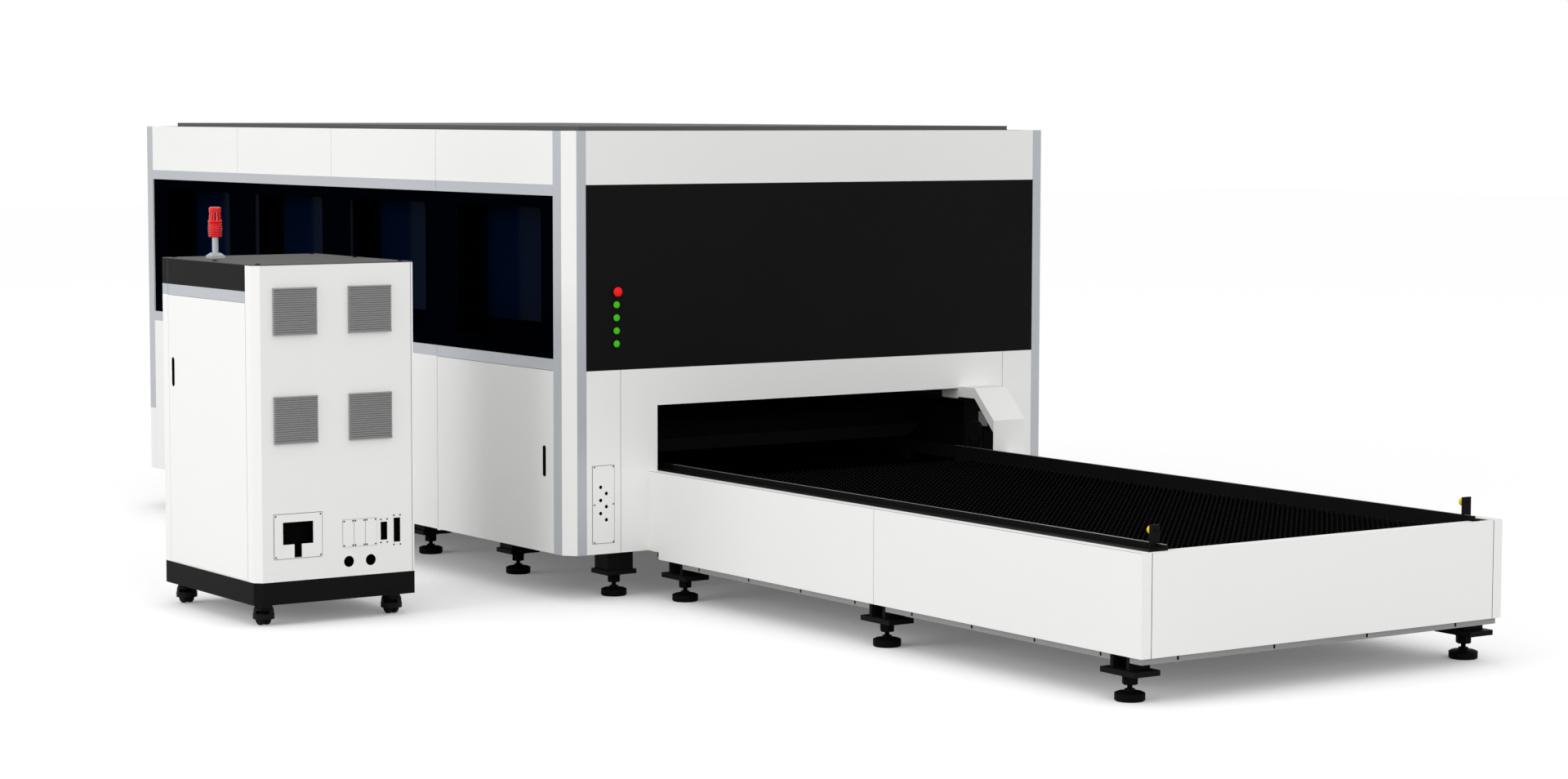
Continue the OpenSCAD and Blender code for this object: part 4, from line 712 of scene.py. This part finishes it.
def slag_sheets():
    """Folded sheets on the bed's cross tubes, from the slag tray out to the beams, and the tray's rear upstand."""
    fronts = [-CORNER_IN] + [x - STAND_HALF for x in CROSS_TUBES]
    rears = [x + STAND_HALF for x in CROSS_TUBES] + [TRAY_REAR]
    parts = []
    for side in (-1, 1):
        for front, rear in zip(fronts, rears):
            y0, y1 = sorted((side * (TRAY_HALF + 0.4), side * (BEAM_IN - 0.4)))
            sheet = block(at(rear, y0, SLAG_LOW), at(front, y1, SLAG_TOP))
            cut_across(sheet, at(0, side * (BEAM_IN - SLAG_FOLD), 0), (0, 1, 0))
            fold = MID_Y + side * (BEAM_IN - 2) / 1000
            pick_faces(sheet, lambda c, n: n.z > 0.9 and abs(c.y - fold) < 0.001)
            draw_out((0, 0, 0.02))
            leave_edit()
            parts.append(sheet)
    reach = BEAM_IN - SLAG_FOLD - 0.4
    upstand = block(at(TRAY_REAR, -reach, SLAG_TOP + 0.2), at(TRAY_REAR + 3, reach, UPSTAND_TOP))
    parts.append(press(upstand, lambda c, n: n.x > 0.9, 0.008, (-0.001, 0, 0)))
    fit(one_piece(parts), "slag_sheets", "root", "black_paint")


TABLE_JOINT = 1756


def table_joints():
    """Joints of the table's panels, and grey lines along the edges of their upper folds that are painted shade at the
    bends.
    """
    low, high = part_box("table_panels")
    x0, x1 = (WALL_X + (TABLE_JOINT + half) / 1000 for half in (-JOINT_HALF, JOINT_HALF))
    parts = []
    for side, face in ((-1, low.y), (1, high.y)):
        y0, y1 = sorted((face - side * 0.0005, face - side * 0.008))
        parts.append(joint_strip(Vector((x0, y0, low.z)), Vector((x1, y1, high.z))))
        y = face - side * 0.049
        parts.append(joint_strip(Vector((high.x - 0.008, y - 0.0014, low.z)),
                                 Vector((high.x + 0.0003, y + 0.0014, high.z))))
    fit(one_piece(parts), "table_joints", "root", "black_plastic", FINISH["joint_dark"])
    # Grey lines on the folds' outer and inner top edges: painted shade at the bends.
    shade_rims = []
    for side, face in ((-1, low.y), (1, high.y)):
        for y in (face - side * 0.0006, face - side * 0.0482):
            shade_rims.append(joint_strip(Vector((WALL_X + 0.001, y - 0.0007, high.z - 0.001)),
                                    Vector((high.x - 0.001, y + 0.0007, high.z + 0.0005))))
    fit(one_piece(shade_rims), "table_fold_shade_lines", "root", "grey_paint")


# Exchange table

RAIL_IN, RAIL_OUT = 806.6, 819.4


def rail_tops():
    """Grey strip on the upper tracks' rails, kept under the pallet's wheels: a painted highlight along the rails' top
    edges.
    """
    parts = []
    end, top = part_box("pallet_tracks")[1].x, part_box("pallet_tracks")[1].z
    for side in (-1, 1):
        a, b = sorted((side * RAIL_IN, side * RAIL_OUT))
        strip = block(Vector((WALL_X + 0.002, MID_Y + a / 1000, top - 0.0004)),
                      Vector((end - 0.0006, MID_Y + b / 1000, top + 0.00012)))
        pick_faces(strip, lambda c, n: n.x > 0.9)
        draw_out((0.0004, 0, -0.0001))
        leave_edit()
        parts.append(strip)
    fit(one_piece(parts), "rail_highlight_strips", "root", "dark_steel", FINISH["rail_glint"])


BUMPER_R, STOP_FACE = 0.017, 0.052


def stop_bolts():
    """Domed bolt heads that hold the bumpers, on the outer face of each stop."""
    low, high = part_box("stop_bumpers")
    z = (low.z + high.z) / 2
    bolt = turned(Vector((0, 0, 0)), [(6, 0), (6, 1), (5, 3.2), (2.5, 4.2)], sides=12, axis="X")
    smooth(bolt)
    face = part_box("stop_brackets")[1].x - STOP_FACE
    mids = (low.y + BUMPER_R, high.y - BUMPER_R)
    bolts = one_piece(copied(bolt, [Vector((face, y, z)) for y in mids]))
    drop(bolt)
    fit(bolts, "stop_bolts", "root", "dark_steel")


LINK, CHAIN_R, ROOT_SHARE = 25.4, 0.0545, 0.89
MOTOR_CHAIN_Y, LONG_CHAIN_Y, HUB_Y = 0.855, 0.875, 0.868


def chain_link():
    """One pitch of roller chain in the XZ plane: two waisted side plates and a roller."""
    parts = []
    for y in (-6.2, 4.6):
        plate = block(Vector((-0.0165, y / 1000, -0.0055)), Vector((0.0165, (y + 1.6) / 1000, 0.0055)))
        pick(plate)
        bpy.ops.object.mode_set(mode="EDIT")
        bpy.ops.mesh.select_mode(type="EDGE")
        bpy.ops.mesh.select_all(action="DESELECT")
        leave_edit()
        for edge in plate.data.edges:
            a, b = (plate.data.vertices[i].co for i in edge.vertices)
            edge.select = abs(a.y - b.y) > 0.001
        bpy.ops.object.mode_set(mode="EDIT")
        bpy.ops.mesh.bevel(offset=0.004, segments=1, affect="EDGES")
        leave_edit()
        parts.append(plate)
    parts.append(turned(Vector((0.0127, -0.0046, 0)), [(5.2, 0), (5.2, 9.2)], sides=8, axis="Y"))
    return one_piece(parts)


def chain_round(ends, y, r):
    """Links laid round two sprocket centres given in the XZ plane, in metres."""
    a, b = ends
    span = b - a
    run = span.length
    along = span.normalized()
    side = Vector((-along.y, along.x))
    total = 2 * run + 2 * math.pi * r
    count = round(total / (LINK / 1000))
    link = chain_link()
    made = []
    for k in range(count):
        s = (k + 0.5) * total / count
        if s < run:
            spot, heading = a + side * r + along * s, along
        elif s < run + math.pi * r:
            t = (s - run) / r
            spot = b + side * r * math.cos(t) + along * r * math.sin(t)
            heading = along * math.cos(t) - side * math.sin(t)
        elif s < 2 * run + math.pi * r:
            spot, heading = b - side * r - along * (s - run - math.pi * r), -along
        else:
            t = (s - 2 * run - math.pi * r) / r
            spot = a - side * r * math.cos(t) - along * r * math.sin(t)
            heading = side * math.sin(t) - along * math.cos(t)
        twin = link.copy()
        twin.data = link.data.copy()
        bpy.context.collection.objects.link(twin)
        turn = Matrix.Rotation(-math.atan2(heading.y, heading.x), 4, "Y")
        twin.data.transform(Matrix.Translation((spot.x, y, spot.y)) @ turn)
        made.append(twin)
    drop(link)
    return one_piece(made)


def sprocket(x, y, z, teeth=13, width=7.0):
    """Toothed disc on a Y axis: a ring of points drawn in between the rollers."""
    disc = turned(Vector((x, y - width / 2000, z)), [(51, 0), (51, width)], sides=4 * teeth, axis="Y")
    step = 2 * math.pi / (4 * teeth)
    pick_points(disc, lambda p: round(math.atan2(p.z - z, p.x - x) / step) % 4 == 0)
    bpy.ops.transform.resize(value=(ROOT_SHARE, 1, ROOT_SHARE), center_override=(x, y, z))
    leave_edit()
    return disc


def exchange_chains():
    """Motor chain and the two long chains, with the idlers' sprockets and hubs."""
    shaft, idler, motor = (Vector((WALL_X + x, z)) for x, z in ((0.1, 0.3), (3.33, 0.3), (0.1, 0.668)))
    parts = [chain_round((shaft, motor), MID_Y + MOTOR_CHAIN_Y, CHAIN_R)]
    for side in (-1, 1):
        y = MID_Y + side * LONG_CHAIN_Y
        parts.append(chain_round((shaft, idler), y, CHAIN_R))
        parts.append(sprocket(idler.x, y, idler.y))
        hub = Vector((idler.x, MID_Y + side * HUB_Y - 0.007, idler.y))
        parts.append(turned(hub, [(24, -3), (24, 12), (18, 20)], 24, "Y"))
    fit(one_piece(parts), "roller_chains", "root", "dark_steel", FINISH["chain_steel"], ["exchange_chains"])


def chain_case():
    """Black case over the motor chain: a tall part at the wall and a low part under the guard's slope."""
    case = block(at(2, 863.2, 700), at(117, 868.8, 832))
    pick_faces(case, lambda c, n: n.z < -0.9)
    draw_out((0, 0, -0.017))
    draw_out((0, 0, -0.103))
    pick_faces(case, lambda c, n: n.x > 0.9 and c.z < 0.683)
    draw_out((0.111, 0, 0))
    leave_edit()
    fit(face_outwards(case), "chain_case", "root", "black_paint")


def guard_shade_sheet():
    """Sheet on the motor's mount that shows beside the chain case, under the guard's slope, painted grey as painted
    shade: a white sheet in the guard's shadow.
    """
    sheet = block(at(117.3, 861.8, 704), at(186, 863.7, 772))
    press(sheet, lambda c, n: n.y < -0.9, 0.004, (0, 0.0006, 0))
    # Grey here is painted shade on a white sheet.
    fit(face_outwards(sheet), "guard_shade_sheet", "root", "grey_paint")


# Levelling feet

FOOT_ROWS = ((886, (211, 1764.5, 3318)), (1060, tuple(-125 - 880 * k for k in range(6))))
PAD_R, STUD_R, NUT_R, NUT_Z, PLATE_Z, STUD_TOP = 59, 10.5, 32, 62, 103, 136


def levelling_foot():
    """Foot at the origin: round pad with a bevelled top, collar, threaded stud, hexagon nut and washer."""
    steps = [(PAD_R - 5, 0), (PAD_R, 5), (PAD_R, 30), (PAD_R - 12, 35.5), (24, 38), (20, 38.5), (20, 46), (13, 47)]
    z = 48
    while z < NUT_Z + 2:
        steps += [(STUD_R - 1.2, z), (STUD_R, z + 1)]
        z += 2
    steps += [(STUD_R - 1.2, z), (STUD_R - 1.2, STUD_TOP - 2), (STUD_R - 3, STUD_TOP)]
    foot = smooth(turned(Vector((0, 0, 0)), steps, 36), 25)
    nut = turned(Vector((0, 0, 0)), [(NUT_R - 4, NUT_Z), (NUT_R, NUT_Z + 4), (NUT_R, PLATE_Z - 10),
                                     (NUT_R - 4, PLATE_Z - 6)], 6)
    washer = turned(Vector((0, 0, 0)), [(NUT_R + 8, PLATE_Z - 6.3), (NUT_R + 9, PLATE_Z - 5),
                                        (NUT_R + 9, PLATE_Z - 0.2)], 36)
    return one_piece([foot, nut, smooth(washer)])


def levelling_feet():
    foot = levelling_foot()
    spots = [at(x, side * y, 0) for y, xs in FOOT_ROWS for x in xs for side in (-1, 1)]
    feet = one_piece(copied(foot, spots))
    drop(foot)
    fit(feet, "threaded_feet", "root", "dark_steel", None, ["levelling_feet"])


# Signal lamp

def signal_lamp():
    low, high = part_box("signal_lamp_lens")
    foot = Vector(((low.x + high.x) / 2, (low.y + high.y) / 2, low.z))
    steps = [(26, 0), (28, 1)]
    for k in range(6):
        z = 3 + k * 10.2
        r = 28.5 + 3.5 * math.sin(math.pi * (k + 1) / 8)
        steps += [(r - 7, z), (r, z + 1.2), (r, z + 6.0), (r - 7, z + 7.2)]
    steps += [(29, 66), (31, 67.5), (31, 73), (28.5, 75)]
    rings = smooth(turned(foot, steps, 40), 25)
    cage = turned(foot, [(28, 74), (24.5, 112)], 24)
    pick_faces(cage, lambda c, n: abs(n.z) < 0.5 and
               round((math.atan2(c.y - foot.y, c.x - foot.x)) / (2 * math.pi / 24) - 0.5) % 2 == 0)
    bpy.ops.mesh.inset(thickness=0.0008, use_individual=True)
    bpy.ops.mesh.delete(type="FACE")
    leave_edit()
    give_wall(cage, 0.0025, -1)
    cap = smooth(turned(foot, [(24.5, 111), (26.5, 112), (26.5, 116), (24.5, 117.5), (24.5, 119), (26.5, 120.5),
                               (26.5, 128), (24, 132.5), (18, 134)], 40), 25)
    fit(one_piece([rings, cage, cap]), "signal_lamp_cover", "root", "red_lens", None, ["signal_lamp_lens"])
    core = smooth(turned(foot, [(20, 70), (20, 84), (16, 86), (16, 108), (19, 112)], 24))
    fit(core, "signal_lamp_core", "root", "black_plastic")


# Castors

def castor_hood():
    """Bell over a castor's wheels at the origin, open below and in front, with its neck, stem, web and axle."""
    heading = math.radians(-35)
    back = Vector((-0.013, 0, 0))
    bell = turned(back, [(47, 28), (47, 50), (45.2, 52), (44.2, 67), (41.5, 75), (37, 81)], 48)

    def open_part(c, n):
        turn = math.atan2(c.y, c.x - back.x) - heading
        return n.z < -0.9 or (0.053 < c.z < 0.066 and abs(math.atan2(math.sin(turn), math.cos(turn))) < 0.72)

    pick_faces(bell, open_part)
    bpy.ops.mesh.delete(type="FACE")
    leave_edit()
    smooth(give_wall(bell, 0.0032, -1), 30)
    neck = smooth(turned(Vector((0, 0, 0)), [(33, 78), (33, 88), (35, 90), (35, 94)], 40), 30)
    stem = turned(Vector((0, 0, 0)), [(6, 93), (6, 113)], 16)
    web = block(Vector((-0.030, -0.004, 0.022)), Vector((-0.001, 0.004, 0.079)))
    pick_faces(web, lambda c, n: n.z > 0.9)
    draw_out((0, 0, 0.001))
    bpy.ops.transform.resize(value=(1.4, 3.0, 1))
    leave_edit()
    axle = turned(Vector((-0.016, -0.0265, 0.031)), [(4, 0), (4.9, 1), (4.9, 52), (4, 53)], 20, "Y")
    return one_piece([bell, neck, stem, web, axle])


def castor_hoods():
    hood = castor_hood()
    for i in range(1, 5):
        low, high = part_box(f"castor_swivel_{i}")
        spot = Vector(((low.x + high.x) / 2, (low.y + high.y) / 2, 0))
        twin = copied(hood, [spot])[0]
        fit(twin, f"castor_hood_{i}", f"castor_{i}", "black_plastic", None, [f"castor_swivel_{i}"])
    drop(hood)


# Inside the cabinet

GEAR_Y, DRIVE_Z, DRIVE_W, DRIVE_H, DRIVE_D, DRIVE_STEP = -2159.5, 1095.9, 140, 180, 140, 194.5
BREAKER_Z, BREAKER_W, BREAKER_H, BREAKER_D, GEAR_X = 835.9, 50, 90, 75, -951
SOURCE_X0, SOURCE_X1, SOURCE_Y, SOURCE_Z0, SOURCE_Z1 = -971, -193, -2657, 195.9, 635.9


def drive_front():
    """Front of a servo drive at the origin: a cover with a sunk display, vents and two terminal rows."""
    cover = block(Vector((0.005, -0.006, 0.005)), Vector(((DRIVE_W - 5) / 1000, 0.001, (DRIVE_H - 5) / 1000)))
    round_edges(cover, 0.0015, 1)
    show = block(Vector((0.030, -0.008, 0.128)), Vector((0.110, -0.005, 0.160)))
    press(show, lambda c, n: n.y < -0.9, 0.003, (0, 0.0015, 0))
    vent = block(Vector((0.022, -0.008, 0.072)), Vector((0.118, -0.005, 0.075)))
    vents = row_of(round_edges(vent, 0.0006, 1), 6, (0, 0, 0.008))
    rows = []
    for z in (0.018, 0.044):
        pole = block(Vector((0.024, -0.016, z)), Vector((0.032, -0.005, z + 0.016)))
        press(pole, lambda c, n: n.y < -0.9, 0.002, (0, 0.005, 0))
        rows.append(row_of(pole, 8, (0.0118, 0, 0)))
    return one_piece([cover, show, vents] + rows)


def breaker_front():
    """Front of a breaker at the origin: a stepped nose with a toggle."""
    nose = block(Vector((0.002, -0.012, 0.024)), Vector(((BREAKER_W - 2) / 1000, 0.001, (BREAKER_H - 24) / 1000)))
    round_edges(nose, 0.001, 1)
    toggle = block(Vector((0.015, -0.024, 0.040)), Vector((0.035, -0.011, 0.050)))
    pick_faces(toggle, lambda c, n: n.y < -0.9)
    bpy.ops.transform.translate(value=(0, 0, 0.006))
    leave_edit()
    return one_piece([nose, round_edges(toggle, 0.001, 1)])


def gear_fronts():
    drive = drive_front()
    drives = copied(drive, [at(GEAR_X + k * DRIVE_STEP, GEAR_Y - DRIVE_D, DRIVE_Z) for k in range(4)])
    breaker = breaker_front()
    breakers = copied(breaker, [at(GEAR_X + k * BREAKER_W * 1.2, GEAR_Y - BREAKER_D, BREAKER_Z) for k in range(7)])
    drop(drive)
    drop(breaker)
    fit(one_piece(drives + breakers), "gear_fronts", "root", "black_plastic")


def source_front():
    """Front of the laser source: a rimmed plate with air slots and two bow handles."""
    plate = block(at(SOURCE_X0 + 8, SOURCE_Y - 4, SOURCE_Z0 + 8), at(SOURCE_X1 - 8, SOURCE_Y + 1, SOURCE_Z1 - 8))
    press(plate, lambda c, n: n.y < -0.9, 0.030, (0, 0.003, 0))
    slot = block(at(SOURCE_X0 + 190, SOURCE_Y - 5, SOURCE_Z0 + 110),
                 at(SOURCE_X1 - 190, SOURCE_Y + 0.5, SOURCE_Z0 + 116))
    slots = row_of(round_edges(slot, 0.0012, 1), 16, (0, 0, 0.0145))
    bows = []
    for x in (SOURCE_X0 + 70, SOURCE_X1 - 70):
        bow = block(at(x - 7, SOURCE_Y - 4, SOURCE_Z0 + 140), at(x + 7, SOURCE_Y - 2, SOURCE_Z0 + 154))
        pick_faces(bow, lambda c, n: n.y < -0.9)
        draw_out((0, -0.034, 0))
        draw_out((0, -0.014, 0))
        pick_faces(bow, lambda c, n: n.z > 0.9 and c.y < at(0, SOURCE_Y - 38, 0).y)
        draw_out((0, 0, 0.150))
        draw_out((0, 0, 0.014))
        pick_faces(bow, lambda c, n: n.y > 0.9 and c.z > at(0, 0, SOURCE_Z0 + 300).z)
        draw_out((0, 0.036, 0))
        leave_edit()
        bows.append(round_edges(bow, 0.003, 2))
    fit(one_piece([plate, slots] + bows), "laser_source_front", "root", "dark_grey_paint")


# Cutting head

def head_body():
    """Cutting head with its nozzle, ceramic ring, collars, lens drawer and fibre plug."""
    low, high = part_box("cutting_head")
    foot = Vector(((low.x + high.x) / 2, (low.y + high.y) / 2, low.z))
    nozzle = [(2, 0), (5, 0.3), (9, 13), (9, 15), (16, 16), (16, 21), (20, 23), (22, 30), (22, 36), (25, 38), (25, 58)]
    barrel = [(28, 60), (40, 66), (40, 104), (38, 106), (38, 110), (40, 112), (40, 176), (38, 178), (38, 182),
              (40, 184), (40, 250), (32, 262)]
    plug = [(16, 263), (16, 278), (19, 279), (19, 288), (13, 290), (13, 300)]
    body = smooth(turned(foot, nozzle + barrel + plug, 40), 30)
    drawer = block(foot + Vector((0.030, -0.022, 0.125)), foot + Vector((0.0398, 0.022, 0.160)))
    press(drawer, lambda c, n: n.x > 0.9, 0.006, (-0.003, 0, 0))
    fit(one_piece([body, drawer]), "cutting_head_body", "z_head", "dark_grey_paint", None, ["cutting_head"])


set_camera()
set_world()
set_floor()
area_lamp("front_softbox", place=(-1.0, -16.0, 6.0), toward=(-1.0, 0.0, 1.0), size=(12.0, 6.0), power=790)
area_lamp("end_softbox", place=(18.0, -2.0, 5.0), toward=(0.5, 0.7, 1.0), size=(8.0, 5.0), power=430)
dress_nodes()

pallet_slats("upper")
pallet_slats("lower")
plate_shadow_rims()
plate_screws()
cabinet_sockets()
cabinet_top_bolts()
cabinet_seams()
trim_joints()
enclosure_joints()
window_mullions()
slag_sheets()
table_joints()
rail_tops()
stop_bolts()
exchange_chains()
chain_case()
guard_shade_sheet()
levelling_feet()
signal_lamp()
castor_hoods()
gear_fronts()
source_front()
head_body()

bpy.context.scene.view_settings.view_transform = "Standard"
